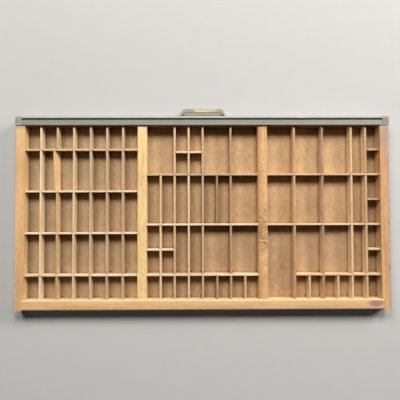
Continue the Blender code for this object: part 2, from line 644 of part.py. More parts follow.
def finger_lip():
    """A shallow tray with rounded outer corners and a thick rolled front edge."""
    front_y = FRONT_Y - PULL_OUT
    height = LIP_RIM - LIP_LOW
    middle_z = (LIP_RIM + LIP_LOW) / 2
    outline = rounded(rectangle((-PULL_HALF, front_y), (PULL_HALF, BORDER_Y)), {0, 1}, PULL_R, 6)
    tray = cutter("pull_finger_lip", sheet_from_outline(outline, height), (0, 0, middle_z), ALONG_Z)
    bevel = tray.modifiers.new("rolled_edge", "BEVEL")
    bevel.width = 0.0020
    bevel.segments = 3
    bevel.limit_method = "ANGLE"
    bevel.angle_limit = math.radians(40)
    pocket_half = PULL_HALF - POCKET_SIDE
    outline = rounded(rectangle((-pocket_half, front_y + POCKET_FRONT),
                                (pocket_half, POCKET_BACK_Y)), {0, 1}, PULL_R - 0.0040, 5)
    combine(tray, cutter("pull_finger_pocket", sheet_from_outline(outline, height),
                         (0, 0, middle_z + height - POCKET_DEPTH), ALONG_Z))
    return tray


def drawer_pull():
    """Plate, label frame and finger lip in one piece."""
    plate_y = PLATE_BACK_Y - PLATE_T / 2
    corners = {0, 1, 2, 3}
    plate = rounded(rectangle((-PLATE_W / 2, PLATE_LOW), (PLATE_W / 2, PLATE_TOP)),
                    corners, PLATE_R)
    pull = place("drawer_pull", sheet_from_outline(plate, PLATE_T),
                 finish("pull_paint_and_brass", (0.36, 0.34, 0.26), roughness=0.42, metallic=0.5),
                 (0, plate_y, 0), ALONG_Y)
    backing = rounded(rectangle((-PULL_HALF, FRAME_LOW), (PULL_HALF, FRAME_TOP)),
                      corners, BACKING_R, 2)
    for name, outline, thickness, y in (
            ("pull_backing", backing, PLATE_T, plate_y),
            ("pull_card_guide", u_frame(GUIDE_W, GUIDE_SILL), CHANNEL + 2 * GUIDE_OVERLAP,
             CHANNEL_Y),
            ("pull_card_border", u_frame(BORDER_W, BORDER_SILL), BORDER_T, BORDER_Y)):
        layer = cutter(name, sheet_from_outline(outline, thickness), (0, y, 0), ALONG_Y)
        combine(pull, layer, "UNION")
    combine(pull, finger_lip(), "UNION")
    for hole in pull_screw_holes:
        combine(pull, hole)


def label_card():
    """Stands in the frame's channel and slides up and out."""
    slide = place_empty("label_card_slide", (0, CHANNEL_Y, GUIDE_SILL + CARD_LIFT))
    box = ((-CARD_W / 2, -CARD_T / 2, 0.0), (CARD_W / 2, CARD_T / 2, CARD_H))
    place("label_card", box_mesh("label_card", [box]),
          finish("aged_card", (0.72, 0.66, 0.50), roughness=0.85), parent=slide)


drawer_pull()
label_card()
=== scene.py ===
"""Looks of the type case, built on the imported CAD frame.

The case lies flat: +Z is up, the steel front with its pull faces -Y, "right" is +X, and the rear
rail is at +Y.  Every CAD piece made of wood or sheet starts from its own node: its flat faces are
joined, its edges eased, the faces cut into short stations, and then the small unevenness of hand
work is pressed into the mesh.
"""
import math
import random
from functools import cached_property

import bmesh
import bpy
from mathutils import Matrix, Vector, noise

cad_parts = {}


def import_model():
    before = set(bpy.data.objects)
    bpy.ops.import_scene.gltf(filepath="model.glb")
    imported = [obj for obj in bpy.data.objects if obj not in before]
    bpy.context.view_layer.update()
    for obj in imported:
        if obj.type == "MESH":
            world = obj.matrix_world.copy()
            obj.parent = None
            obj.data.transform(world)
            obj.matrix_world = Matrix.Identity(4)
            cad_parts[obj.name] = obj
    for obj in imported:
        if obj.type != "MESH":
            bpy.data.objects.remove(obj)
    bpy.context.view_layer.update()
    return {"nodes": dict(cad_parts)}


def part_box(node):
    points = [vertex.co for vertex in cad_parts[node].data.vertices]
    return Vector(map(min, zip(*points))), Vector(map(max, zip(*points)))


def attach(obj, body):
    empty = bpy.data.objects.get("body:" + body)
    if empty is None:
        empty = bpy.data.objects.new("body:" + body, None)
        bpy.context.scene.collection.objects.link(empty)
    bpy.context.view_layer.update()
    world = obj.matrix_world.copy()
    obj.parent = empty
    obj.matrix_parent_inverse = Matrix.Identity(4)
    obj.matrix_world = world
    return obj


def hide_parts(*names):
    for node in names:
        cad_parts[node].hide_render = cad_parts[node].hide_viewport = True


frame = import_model()
BOX = {node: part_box(node) for node in frame["nodes"]}

# ---------------------------------------------------------------- driving sizes, in metres
RAIL_TOP = BOX["rear_rail"][1].z
BAR_TOP = BOX["main_bar_left"][1].z
SLAT_TOP = BOX["centre_cross_slat_1"][1].z
LOOSE_TOP = 0.0285
HALF_WIDTH = BOX["side_rail_right"][1].x
REAR_OUT_Y = BOX["rear_rail"][1].y
REAR_IN_Y = BOX["rear_rail"][0].y
FRONT_Y = BOX["steel_front"][0].y
FLANGE_END = BOX["steel_front"][1].y
LIP_IN = FRONT_Y + 0.0048
GROOVE_IN = LIP_IN + 0.0043
BAR_X = 0.1331                  # distance of each main bar from the middle of the case
DIVIDER_HALF = (BOX["centre_divider_2"][1].x - BOX["centre_divider_2"][0].x) / 2

WELD = 2e-6                     # vertices closer than this are one
MIN_STATION_GAP = 0.0006


# ------------------------------------------------------------------ node graphs
class Field:
    """A node output to calculate with; every operation adds a node."""

    def __init__(self, mat, socket):
        self.mat = mat
        self.socket = socket

    def __add__(self, other):
        return self.mat.math("ADD", self, other)

    def __sub__(self, other):
        return self.mat.math("SUBTRACT", self, other)

    def __rsub__(self, other):
        return self.mat.math("SUBTRACT", other, self)

    def __mul__(self, other):
        return self.mat.math("MULTIPLY", self, other)

    def __abs__(self):
        return self.mat.math("ABSOLUTE", self)

    def ramp(self, start, end, low=0.0, high=1.0, smooth=True):
        """Goes from low at start to high at end, and is level outside; start may exceed end."""
        node = self.mat.node("ShaderNodeMapRange", clamp=True,
                             interpolation_type="SMOOTHSTEP" if smooth else "LINEAR")
        inputs = {"Value": self, "From Min": start, "From Max": end, "To Min": low, "To Max": high}
        for key, value in inputs.items():
            self.mat.put(node.inputs[key], value)
        return Field(self.mat, node.outputs[0])

    def falling(self, start, end):
        return self.ramp(start, end, low=1.0, high=0.0)


class Finish:
    """A material written as expressions.  Its colour is built up layer over layer."""

    def __init__(self, name, shift=(0, 0, 0)):
        self.material = bpy.data.materials.new(name)
        self.material.use_nodes = True
        self.tree = self.material.node_tree
        self.tree.nodes.clear()
        self.shift = shift
        self.colour = None
        output = self.node("ShaderNodeOutputMaterial")
        self.bsdf = self.node("ShaderNodeBsdfPrincipled")
        self.tree.links.new(self.bsdf.outputs[0], output.inputs[0])
        coordinates = self.node("ShaderNodeTexCoord")
        self.place = Field(self, coordinates.outputs["Object"])
        self.facing = Field(self, coordinates.outputs["Normal"])

    @cached_property
    def place_xyz(self):
        return self.split(self.place)

    @cached_property
    def facing_xyz(self):
        return self.split(self.facing)

    x = property(lambda self: self.place_xyz[0])
    y = property(lambda self: self.place_xyz[1])
    z = property(lambda self: self.place_xyz[2])
    facing_x = property(lambda self: self.facing_xyz[0])
    facing_y = property(lambda self: self.facing_xyz[1])
    facing_z = property(lambda self: self.facing_xyz[2])

    def node(self, kind, **properties):
        node = self.tree.nodes.new(kind)
        for key, value in properties.items():
            setattr(node, key, value)
        return node

    def put(self, socket, value):
        """Links a field to a socket, or sets the socket's own value."""
        if isinstance(value, Field):
            self.tree.links.new(value.socket, socket)
        elif socket.type == "RGBA":
            socket.default_value = (*value, 1.0)
        else:
            socket.default_value = value

    def split(self, vector):
        node = self.node("ShaderNodeSeparateXYZ")
        self.put(node.inputs[0], vector)
        return [Field(self, output) for output in node.outputs]

    def math(self, kind, *values, clamp=False):
        node = self.node("ShaderNodeMath", operation=kind, use_clamp=clamp)
        for socket, value in zip(node.inputs, values):
            self.put(socket, value)
        return Field(self, node.outputs[0])

    def vector_math(self, kind, *values, output=0):
        node = self.node("ShaderNodeVectorMath", operation=kind)
        for socket, value in zip(node.inputs, values):
            self.put(socket, value)
        return Field(self, node.outputs[output])

    def highest(self, first, second):
        return second if first is None else self.math("MAXIMUM", first, second)

    def stretched(self, scale, shift, turn=0.0):
        """Object coordinates scaled per axis, or by one number; turn is about Z, in radians."""
        node = self.node("ShaderNodeMapping", vector_type="POINT")
        self.put(node.inputs["Vector"], self.place)
        node.inputs["Location"].default_value = shift
        node.inputs["Rotation"].default_value = (0, 0, turn)
        node.inputs["Scale"].default_value = scale if isinstance(scale, tuple) else (scale,) * 3
        return Field(self, node.outputs[0])

    def noise(self, scale, shift=(0, 0, 0), turn=0.0, detail=2.0, rough=0.5, distort=0.0):
        node = self.node("ShaderNodeTexNoise")
        self.put(node.inputs["Vector"], self.stretched(scale, shift, turn))
        node.inputs["Scale"].default_value = 1.0
        node.inputs["Detail"].default_value = detail
        node.inputs["Roughness"].default_value = rough
        node.inputs["Distortion"].default_value = distort
        return Field(self, node.outputs["Fac"])

    def cells(self, scale):
        """Distance from the middle of a random cell, and one random number per cell."""
        node = self.node("ShaderNodeTexVoronoi", feature="F1")
        self.put(node.inputs["Vector"], self.stretched(scale, (0, 0, 0)))
        node.inputs["Scale"].default_value = 1.0
        node.inputs["Randomness"].default_value = 1.0
        channels = self.node("ShaderNodeSeparateColor")
        self.put(channels.inputs[0], Field(self, node.outputs["Color"]))
        return Field(self, node.outputs["Distance"]), Field(self, channels.outputs[0])

    def mottle(self, *layers):
        """Sums (noise, weight) layers around 0.5, clamped."""
        total = None
        for layer, weight in layers:
            part = (layer - 0.5) * weight
            total = part if total is None else total + part
        return self.math("ADD", total, 0.5, clamp=True)

    def crease(self, reach, samples=6):
        """Nearness of other surfaces, 0 in the open to 1 deep in a corner."""
        node = self.node("ShaderNodeAmbientOcclusion", samples=samples, only_local=False)
        node.inputs["Distance"].default_value = reach
        return 1.0 - Field(self, node.outputs["AO"])

    def spot(self, centre, radii, hard, warp=None):
        """A soft patch at a place on the object, solid out to hard times its radii."""
        away = self.vector_math("SUBTRACT", self.place, centre)
        away = self.vector_math("DIVIDE", away, radii)
        distance = self.vector_math("LENGTH", away, output="Value")
        if warp is not None:
            distance = distance + warp
        return distance.falling(hard, 1.3)

    def rgb(self, colour):
        node = self.node("ShaderNodeRGB")
        node.outputs[0].default_value = (*colour, 1.0)
        return Field(self, node.outputs[0])

    def mix(self, amount, first, second, blend="MIX"):
        node = self.node("ShaderNodeMix", data_type="RGBA", blend_type=blend, clamp_factor=True)
        for index, value in ((0, amount), (6, first), (7, second)):
            self.put(node.inputs[index], value)
        return Field(self, node.outputs[2])

    def two_tone(self, amount, first, second):
        return self.mix(amount, self.rgb(first), self.rgb(second))

    def gain(self, colour, value):
        """Colour times a value."""
        node = self.node("ShaderNodeVectorMath", operation="SCALE")
        self.put(node.inputs[0], colour)
        self.put(node.inputs["Scale"], value)
        return Field(self, node.outputs[0])

    def blend(self, target, amount):
        """Mixes the colour so far towards another."""
        self.colour = self.mix(amount, self.colour, target)

    def stain(self, colour, amount):
        self.blend(self.rgb(colour), amount)

    def tint(self, factors, amount):
        """Mixes the colour so far towards itself times the factors."""
        self.blend(self.mix(1.0, self.colour, factors, "MULTIPLY"), amount)

    def finish(self, rough, metallic=0.0, height=None, strength=0.3, distance=0.0003):
        inputs = self.bsdf.inputs
        self.put(inputs["Base Color"], self.colour)
        self.put(inputs["Roughness"], rough)
        self.put(inputs["Metallic"], metallic)
        inputs["Specular IOR Level"].default_value = 0.35
        if height is not None:
            bump = self.node("ShaderNodeBump")
            bump.inputs["Strength"].default_value = strength
            bump.inputs["Distance"].default_value = distance
            self.put(bump.inputs["Height"], height)
            self.tree.links.new(bump.outputs[0], inputs["Normal"])
        return self.material


class Wood(Finish):
    """A material with a grain along X or Y and its own place in the noise."""

    def __init__(self, name, axis, seed):
        rnd = random.Random(seed * 7919 + 13)
        super().__init__(name, tuple(rnd.uniform(-9, 9) for _ in range(3)))
        self.axis = axis

    def grain(self, along, across, **character):
        scale = (along, across, across) if self.axis == "X" else (across, along, across)
        return self.noise(scale, self.shift, **character)


def shade(colour, *factors, limit=math.inf):
    return tuple(min(limit, value * factor) for value, factor in zip(colour, factors))


# ------------------------------------------------------------------ wood
def wood(name, tone, axis, seed, top_z, figure, fleck, grime_and_shade, side=1.0, rim=None, extra=None):
    """Old hand-rubbed maple.

    tone: colour of the worn top; figure, fleck, grime_and_shade: strengths, the last also of the
    painted shade in the corners; side: brightness of the sides;
    rim: settings of worn_rim; extra(mat): marks of one piece, returns the depth they sink or None.
    """
    mat = Wood(name, axis, seed)
    broad = mat.grain(9.0, 34.0)
    streaks = mat.grain(7.0, 240.0, detail=3.0, rough=0.55, distort=0.35)
    fibre = mat.grain(55.0, 1500.0, rough=0.6)
    cloud = mat.grain(70.0, 110.0, detail=3.0, rough=0.6)
    mottle = mat.mottle((broad, 1.0), (streaks, 0.95 * figure), (fibre, 0.32), (cloud, 0.60))
    mat.colour = mat.two_tone(mottle, shade(tone, 0.74, 0.64, 0.52),
                              shade(tone, 1.16, 1.22, 1.34, limit=0.93))

    # short brown flecks of the rays and a few pores
    rays = mat.grain(190.0, 950.0, detail=1.0, rough=0.4)
    mat.stain(shade(tone, 0.50, 0.38, 0.26), rays.ramp(0.66, 0.74) * fleck)
    # handling stains
    shift_x, shift_y, shift_z = mat.shift
    handling = mat.noise(18, (shift_y, shift_z, shift_x), detail=3.0, rough=0.6)
    mat.stain(shade(tone, 0.60, 0.48, 0.36), handling.ramp(0.56, 0.74) * (0.45 * grime_and_shade + 0.1))

    wood_sides(mat, side, top_z == SLAT_TOP)
    rubbed_arris(mat, tone, top_z)
    end_grain(mat, tone)
    if rim is not None:
        worn_rim(mat, **rim)
    # dust and grime in the corners, and painted shade there from the crease darkening
    mat.stain(shade(tone, 0.30, 0.22, 0.15), mat.crease(0.006).ramp(0.30, 0.85) * grime_and_shade)
    sunk = extra(mat) if extra is not None else None

    rough = (cloud * 0.5 + mottle * 0.5).ramp(0.2, 0.8, low=0.58, high=0.42)
    height = fibre * 0.45 + streaks * 0.55 - rays.ramp(0.66, 0.74) * 0.5
    if sunk is not None:
        height = height - sunk
    return mat.finish(rough, height=height, strength=0.30, distance=0.00035)


def wood_sides(mat, side, is_slat):
    """Sides that are greyer than the top, darker at the foot, and with painted shade on the rear
    faces.
    """
    top = mat.colour
    lit = mat.mix(1.0, top, mat.rgb((1.13 * side, 1.25 * side, 1.28 * side)), "MULTIPLY")
    lit = mat.mix(1.0, lit, mat.rgb((0.86, 0.66, 0.46)), "DARKEN")
    mat.colour = mat.mix(mat.z.ramp(0.003, 0.013), mat.gain(lit, 0.72), lit)
    # painted shade: faces turned to +Y, away from the key lights, are darkened, the slats most
    mat.tint((0.31, 0.21, 0.13) if is_slat else (0.42, 0.33, 0.24),
             mat.facing_y.ramp(0.45, 0.85) * (0.92 if is_slat else 0.75))
    mat.blend(top, mat.facing_z.ramp(0.35, 0.85))


def rubbed_arris(mat, tone, top_z):
    """Pale rubbing close to the top."""
    near_top = mat.z.ramp(top_z - 0.0032, top_z - 0.0002) * mat.facing_z.ramp(0.1, 0.5, 1.0, 0.55)
    rub = mat.grain(45.0, 260.0, rough=0.6)
    mat.stain(shade(tone, 1.22, 1.25, 1.32, limit=0.9), near_top * rub.ramp(0.35, 0.7) * 0.30)


def end_grain(mat, tone):
    end_facing = abs(mat.facing_x if mat.axis == "X" else mat.facing_y)
    rings = mat.noise((60, 60, 900), mat.shift, distort=0.6)
    ends = mat.two_tone(rings.ramp(0.35, 0.65), shade(tone, 0.42, 0.34, 0.26),
                        shade(tone, 0.68, 0.58, 0.46))
    mat.blend(ends, end_facing.ramp(0.6, 0.9))


def worn_rim(mat, axis, edge, width, colour, amount):
    """Worn outer edge of the frame, whitened or greyed."""
    across = abs(mat.x) if axis == "x" else mat.y
    band = across.ramp(edge - width, edge - width * 0.25) * (
        mat.z.ramp(0.020, 0.031) * mat.facing_z.ramp(0.0, 0.5, low=0.45))
    ragged = mat.grain(70.0, 500.0, detail=3.0, rough=0.65)
    mat.stain(colour, band * ragged.ramp(0.22, 0.52) * amount)


# ------------------------------------------------------------------ marks of single pieces
def green_stain(mat):
    """Greenish patches and open cracks along the grain."""
    patches = mat.noise((120, 60, 120), detail=3.0)
    mat.stain((0.44, 0.40, 0.20), patches.ramp(0.42, 0.6) * 0.28)
    crack = mat.grain(30.0, 900.0).ramp(0.62, 0.66)
    mat.stain((0.09, 0.06, 0.035), crack * 0.7)
    return crack * 1.2


def grey_top(mat):
    """The dirty divider in the left section: a grey film that thins out towards the rear."""
    film = mat.grain(38.0, 300.0, detail=3.0, rough=0.6)
    reach = mat.y.ramp(0.055, 0.085, low=1.0, high=0.35)
    mat.stain((0.275, 0.185, 0.150),
              film.ramp(0.30, 0.62) * reach * 0.85 * mat.facing_z.ramp(0.2, 0.7, low=0.30))


# y of the middle, half length along y, noise level where cuts begin, turn in radians
CUT_ZONES = ((0.050, 0.036, 0.515, 0.9), (0.014, 0.034, 0.560, -0.6), (0.105, 0.045, 0.610, 0.4))


def scored(mat):
    """Cuts and bruises in the bar between the middle and the left section."""
    height = None
    for middle_y, reach_y, level, turn in CUT_ZONES:
        zone = mat.spot(centre=(-BAR_X, middle_y, BAR_TOP), radii=(0.012, reach_y, 0.012), hard=0.7)
        lines = mat.noise((150.0, 620.0, 300.0), turn=turn, distort=0.8)
        cut = lines.ramp(level, level + 0.05) * zone
        mat.stain((0.17, 0.085, 0.036), cut * 0.86)
        height = mat.highest(height, cut)
    dots = mat.noise((300, 170, 300), (7, 7, 7), detail=1.0)
    mat.stain((0.30, 0.155, 0.065), dots.ramp(0.63, 0.69) * mat.facing_z.ramp(0.5, 0.9) * 0.62)
    # browner towards the front end and along the edge that faces the middle section
    red = mat.grain(22.0, 120.0)
    front = mat.y.ramp(-0.10, -0.18) * red.ramp(0.35, 0.6, low=0.3)
    mat.stain((0.42, 0.20, 0.095), front * 0.45)
    lines = mat.noise((110, 560, 160), (2, 7, 7), detail=3.0, rough=0.6)
    mat.stain((0.30, 0.16, 0.070), lines.ramp(0.60, 0.69) * mat.facing_z.ramp(0.5, 0.9) * 0.42)
    inward = mat.x.ramp(-0.1330, -0.1245) * mat.facing_z.ramp(0.2, 0.8)
    mat.tint((0.68, 0.66, 0.62), inward * 0.62)
    return height * 1.5


def shade_under_steel(mat):
    """Painted shade: dark wood in front of the rear edge of the steel, and below it."""
    mat.stain((0.050, 0.044, 0.032),
              mat.y.ramp(FLANGE_END - 0.0060, FLANGE_END - 0.0085) * mat.z.ramp(0.014, 0.020))


def worn_streaks(mat):
    """Broad streaks along the grain where the rubbed finish has gone uneven."""
    streaks = mat.grain(5.0, 190.0, detail=3.0, rough=0.6)
    upward = mat.facing_z.ramp(0.4, 0.9)
    mat.tint((0.72, 0.64, 0.54), streaks.ramp(0.50, 0.64) * upward * 0.52)
    mat.tint((1.16, 1.20, 1.28), streaks.ramp(0.46, 0.32) * upward * 0.42)


def front_rubbed(mat):
    """The right side rail: greyish rubbing behind the corner cap, mauve towards the rear."""
    worn_streaks(mat)
    rub = mat.noise((160, 60, 160), (2, 4, 4), detail=4.0, rough=0.65)
    behind_cap = mat.y.ramp(FLANGE_END + 0.0105, FLANGE_END + 0.0010) * rub.ramp(
        0.30, 0.62, low=0.55, high=0.95)
    mat.stain((0.395, 0.285, 0.185), behind_cap * mat.facing_z.ramp(0.2, 0.7, low=0.4))
    bruise = mat.noise((150, 60, 150), (8, 1, 4), detail=4.0, rough=0.7)
    zone = mat.spot(centre=(0.4040, 0.165, RAIL_TOP), radii=(0.012, 0.060, 0.03), hard=0.4,
                    warp=(bruise - 0.5) * 1.2)
    mat.stain((0.455, 0.300, 0.205), zone * bruise.ramp(0.42, 0.60, low=0.10, high=0.60))
    mat.stain((0.140, 0.080, 0.055), zone * bruise.ramp(0.64, 0.69) * 0.75)
    shade_under_steel(mat)


def battered(mat):
    """The left side rail: mauve grey rubbing near the front, dark bruises on the outer edge."""
    worn_streaks(mat)
    rub = mat.noise((120, 46, 120), (4, 4, 4), detail=4.0, rough=0.65)
    zone = mat.spot(centre=(-0.3995, -0.172, RAIL_TOP), radii=(0.015, 0.038, 0.03), hard=0.5,
                    warp=(rub - 0.5) * 1.0)
    mat.stain((0.385, 0.252, 0.205), zone * rub.ramp(0.38, 0.60, low=0.50, high=0.88))
    edge = abs(mat.x).ramp(HALF_WIDTH - 0.0075, HALF_WIDTH - 0.0035) * mat.facing_z.ramp(0.25, 0.7)
    spots = mat.noise((150, 64, 150), (1, 2, 9), detail=4.0, rough=0.7)
    length = mat.y.ramp(-0.07, 0.02, low=0.25) * mat.y.ramp(0.16, 0.09, low=0.4)
    bruise = spots.ramp(0.56, 0.64) * edge * length
    mat.stain((0.10, 0.062, 0.045), bruise * 0.80)
    shade_under_steel(mat)
    return bruise * 1.0


def flecked(mat):
    flecks = mat.noise((330, 150, 330), (3, 3, 3), detail=1.0)
    mat.stain((0.43, 0.255, 0.10), flecks.ramp(0.62, 0.68) * mat.facing_z.ramp(0.5, 0.9) * 0.60)
    dark = mat.noise((160, 120, 160), (6, 1, 3), detail=1.0)
    mat.stain((0.20, 0.11, 0.05), dark.ramp(0.72, 0.76) * mat.facing_z.ramp(0.5, 0.9) * 0.75)


def smudged(mat):
    """A violet smudge at the left end of the rear rail and a pale bruise near the middle."""
    ragged = mat.noise((260, 300, 260), detail=4.0, rough=0.7)
    warp = (ragged - 0.5) * 1.5
    smudge = mat.spot(centre=(-0.3755, 0.1968, RAIL_TOP), radii=(0.0175, 0.0078, 0.009),
                      hard=0.60, warp=warp)
    mat.stain((0.30, 0.145, 0.160), smudge * ragged.ramp(0.30, 0.52, low=0.35) * 0.85)
    bruise = mat.spot(centre=(0.0155, 0.1880, RAIL_TOP - 0.010), radii=(0.005, 0.004, 0.009),
                      hard=0.3, warp=warp)
    mat.stain((0.82, 0.78, 0.68), bruise * 0.8)
    # the top falls off in tone towards the worn outer edge
    outward = mat.y.ramp(REAR_IN_Y + 0.003, REAR_OUT_Y - 0.001) * mat.facing_z.ramp(0.4, 0.9)
    mat.tint((0.66, 0.58, 0.50), outward * 0.38)
    # pale inner edge: rubbed, and painted light on the inner face, brighter towards the top
    inner = mat.y.ramp(REAR_IN_Y + 0.0042, REAR_IN_Y + 0.0012) * mat.z.ramp(0.008, 0.026, low=0.55)
    mat.stain((0.85, 0.635, 0.365), inner * ragged.ramp(0.2, 0.55, low=0.55, high=0.95))


def chipped(node, then=None):
    """Small dark chips along the two top edges of a slat, over its other marks."""
    low, high = BOX[node]
    across = 1 if "slat" in node else 0
    middle = (low[across] + high[across]) / 2
    half = (high[across] - low[across]) / 2

    def extra(mat):
        height = then(mat) if then is not None else None
        distance = abs(mat.place_xyz[across] - middle)
        ragged = mat.noise(170, (middle * 90, 3, 6), detail=3.0, rough=0.65)
        chips = distance.ramp(half - 0.0016, half - 0.0006) * ragged.ramp(0.60, 0.67)
        chips = chips * mat.z.ramp(SLAT_TOP - 0.0016, SLAT_TOP - 0.0006)
        mat.stain((0.150, 0.085, 0.045), chips * 0.80)
        return mat.highest(height, chips)

    return extra


def lapped(node):
    """Dark hairlines in the top of a cross slat, on both sides of every divider it crosses."""
    low, high = BOX[node]
    crossings = sorted({round((BOX[other][0].x + BOX[other][1].x) / 2, 4) for other in TONE
                        if "divider" in other
                        and BOX[other][0].x > low.x and BOX[other][1].x < high.x
                        and BOX[other][0].y < high.y + 0.001 and BOX[other][1].y > low.y - 0.001})

    def extra(mat):
        lines = None
        for x in crossings:
            distance = abs(abs(mat.x - x) - DIVIDER_HALF)
            lines = mat.highest(lines, distance.ramp(0.00055, 0.00015))
        if lines is None:
            return None
        ragged = mat.noise(260, (1, 5, 2))
        lines = lines * ragged.ramp(0.25, 0.6, low=0.35) * mat.facing_z.ramp(0.3, 0.8)
        mat.stain((0.105, 0.062, 0.032), lines * 0.80)
        return lines

    return extra


# ------------------------------------------------------------------ other finishes
def millboard(name):
    """Brown board with the grain from front to back, browner towards the rear and the right."""
    mat = Finish(name)
    fibre = mat.noise((520, 46, 520), detail=3.0, rough=0.6)
    streak = mat.noise((120, 9, 120), (3, 1, 0), detail=3.0, rough=0.55)
    cloud = mat.noise((16, 12, 16), (5, 2, 0), detail=4.0, rough=0.62)
    grit = mat.noise((900, 700, 900), detail=1.0)
    spotty = mat.noise((130, 95, 130), (9, 4, 2), rough=0.55)
    mottle = mat.mottle((fibre, 0.34), (streak, 0.20), (cloud, 0.80), (spotty, 0.95), (grit, 0.22))
    # broad change of tone over the case: the +X side is darker and greyer
    rightward = mat.x.ramp(-0.10, 0.37, smooth=False)
    rearward = mat.y.ramp(-0.12, 0.19, smooth=False)
    dark = mat.mix(rightward, (0.400, 0.245, 0.121), (0.285, 0.190, 0.108))
    pale = mat.mix(rightward, (0.685, 0.452, 0.248), (0.488, 0.353, 0.222))
    mat.colour = mat.mix(mottle, dark, pale)
    # outside the right section the tone is toned down away from the front
    mat.tint((0.83, 0.815, 0.83), mat.y.ramp(-0.085, 0.045) * mat.x.ramp(0.135, 0.115))
    # the outermost columns on the -X side are darker
    mat.colour = mat.gain(mat.colour, mat.x.ramp(-0.322, -0.384, low=1.0, high=0.60))
    # the rear rows of the +X section are browner, the front rows greyer
    mat.tint((0.95, 0.90, 0.84), rearward * mat.x.ramp(0.10, 0.20, high=0.55))
    # warm oily patches, greenish patches and a few dark specks
    oil = mat.noise((26, 20, 26), (1, 7, 0))
    mat.blend((0.56, 0.32, 0.17), oil.ramp(0.52, 0.70) * 0.28)
    green = mat.noise((34, 15, 34), (8, 3, 5))
    mat.blend((0.40, 0.33, 0.17), green.ramp(0.54, 0.70) * 0.30)
    distance, chance = mat.cells(210)
    mat.blend((0.10, 0.06, 0.035), distance.falling(0.10, 0.20) * chance.ramp(0.93, 0.96) * 0.75)
    # dirt along the feet of the slats, and painted shade there from the crease darkening
    crease = mat.crease(0.0080, samples=8)
    ragged = mat.noise(240, detail=3.0)
    mat.blend((0.080, 0.042, 0.016), (crease + (ragged - 0.5) * 0.35).ramp(0.30, 0.72) * 0.86)
    # underside
    under = mat.mix(mottle, (0.20, 0.125, 0.065), (0.36, 0.235, 0.13))
    mat.blend(under, mat.facing_z.falling(-0.8, -0.4))
    return mat.finish(mottle.ramp(0.2, 0.8, low=0.88, high=0.74), height=fibre * 0.6 + grit * 0.4,
                      strength=0.35, distance=0.0004)


def front_wear(mat, base, worn, rub):
    """The steel front: warm left half, rubbed lip with a painted highlight, painted shade in the
    groove behind it, pinkish and darkened rear edge.
    """
    mat.stain(shade(base, 1.42, 1.26, 1.24), mat.x.ramp(-0.02, -0.36) * 0.55)
    # the lip is painted lighter: rubbed, and a painted highlight on its rounded top
    lip = mat.y.falling(LIP_IN - 0.0004, LIP_IN + 0.0002) * mat.z.ramp(0.0345, 0.0356)
    mat.stain(worn, lip * rub.ramp(0.22, 0.62, low=0.72))
    outline = mat.y.falling(FRONT_Y + 0.0003, FRONT_Y + 0.0010) * rub.ramp(
        0.30, 0.60, low=1.0, high=0.55)
    mat.stain((0.105, 0.112, 0.092), outline * mat.facing_z.ramp(0.15, 0.45) * 0.85)
    # painted shade in the groove behind the lip
    groove = mat.z.falling(0.0335, 0.0350) * (
        mat.y.ramp(LIP_IN - 0.0006, LIP_IN) * mat.y.falling(GROOVE_IN + 0.0002, GROOVE_IN + 0.0012))
    mat.stain((0.075, 0.080, 0.060), groove * 0.62)
    edge = mat.y.ramp(FLANGE_END - 0.0034, FLANGE_END - 0.0014)
    mat.stain((0.335, 0.285, 0.240), edge * rub.ramp(0.30, 0.65, low=0.35, high=0.85))
    rim = mat.y.ramp(FLANGE_END - 0.0014, FLANGE_END - 0.0006)
    mat.stain((0.070, 0.050, 0.034), rim * 0.80)


def cap_wear(mat, base, worn, rub):
    """A corner cap: mostly rubbed, scuffed brown, pinkish along its rear edge."""
    mat.stain(worn, rub.ramp(0.36, 0.60))
    scuff = mat.noise(150, mat.shift, detail=4.0, rough=0.7)
    mat.stain((0.20, 0.165, 0.125), scuff.ramp(0.50, 0.62) * 0.55)
    outer = abs(mat.x).ramp(HALF_WIDTH - 0.0016, HALF_WIDTH - 0.0004)
    mat.stain((0.17, 0.15, 0.12), outer * 0.55)
    front_edge = mat.y.ramp(FRONT_Y + 0.0030, FRONT_Y + 0.0014) * mat.y.ramp(
        FRONT_Y, FRONT_Y + 0.0008)
    mat.stain(shade(worn, 1.35, 1.35, 1.35), front_edge * 0.45)
    pink = mat.y.ramp(FLANGE_END - 0.0046, FLANGE_END - 0.0012)
    mat.stain((0.335, 0.265, 0.205), pink * rub.ramp(0.25, 0.6, low=0.45, high=0.90))


def pull_wear(mat, base, worn, rub):
    """The pull: crest worn to brass in the middle.  Returns where the brass shows."""
    crest = mat.z.ramp(0.0085, 0.0112) * (
        mat.y.ramp(FRONT_Y - 0.0132, FRONT_Y - 0.0148)
        * mat.y.ramp(FRONT_Y - 0.0216, FRONT_Y - 0.0208))
    wave = (rub - 0.5) * 0.030
    middle = (abs(mat.x + 0.0045) + wave).falling(0.0215, 0.0290)
    rim = mat.z.ramp(0.0075, 0.0100) * mat.y.ramp(FRONT_Y - 0.0204, FRONT_Y - 0.0212)
    mat.stain(worn, rim * 0.40)
    brass = crest * middle * rub.ramp(0.22, 0.46)
    seam = mat.noise((30, 520, 90), mat.shift, detail=3.0, rough=0.6)
    mat.blend(mat.two_tone(seam.ramp(0.36, 0.62), (0.36, 0.290, 0.180), (0.60, 0.510, 0.360)),
              brass)
    # the bed of the finger rest painted lighter as painted light, and a painted shadow line along
    # its foot
    bed = mat.y.ramp(FRONT_Y - 0.0142, FRONT_Y - 0.0132) * (
        mat.z.ramp(0.0150, 0.0140) * abs(mat.x).ramp(0.0452, 0.0444))
    mat.stain((0.315, 0.320, 0.258), bed * 0.85)
    foot = bed * mat.y.ramp(FRONT_Y - 0.0120, FRONT_Y - 0.0104)
    mat.stain((0.150, 0.150, 0.112), foot * 0.72)
    # painted shade on the top of the card frame
    mat.stain((0.120, 0.118, 0.090), mat.z.ramp(0.0290, 0.0310) * 0.75)
    return brass


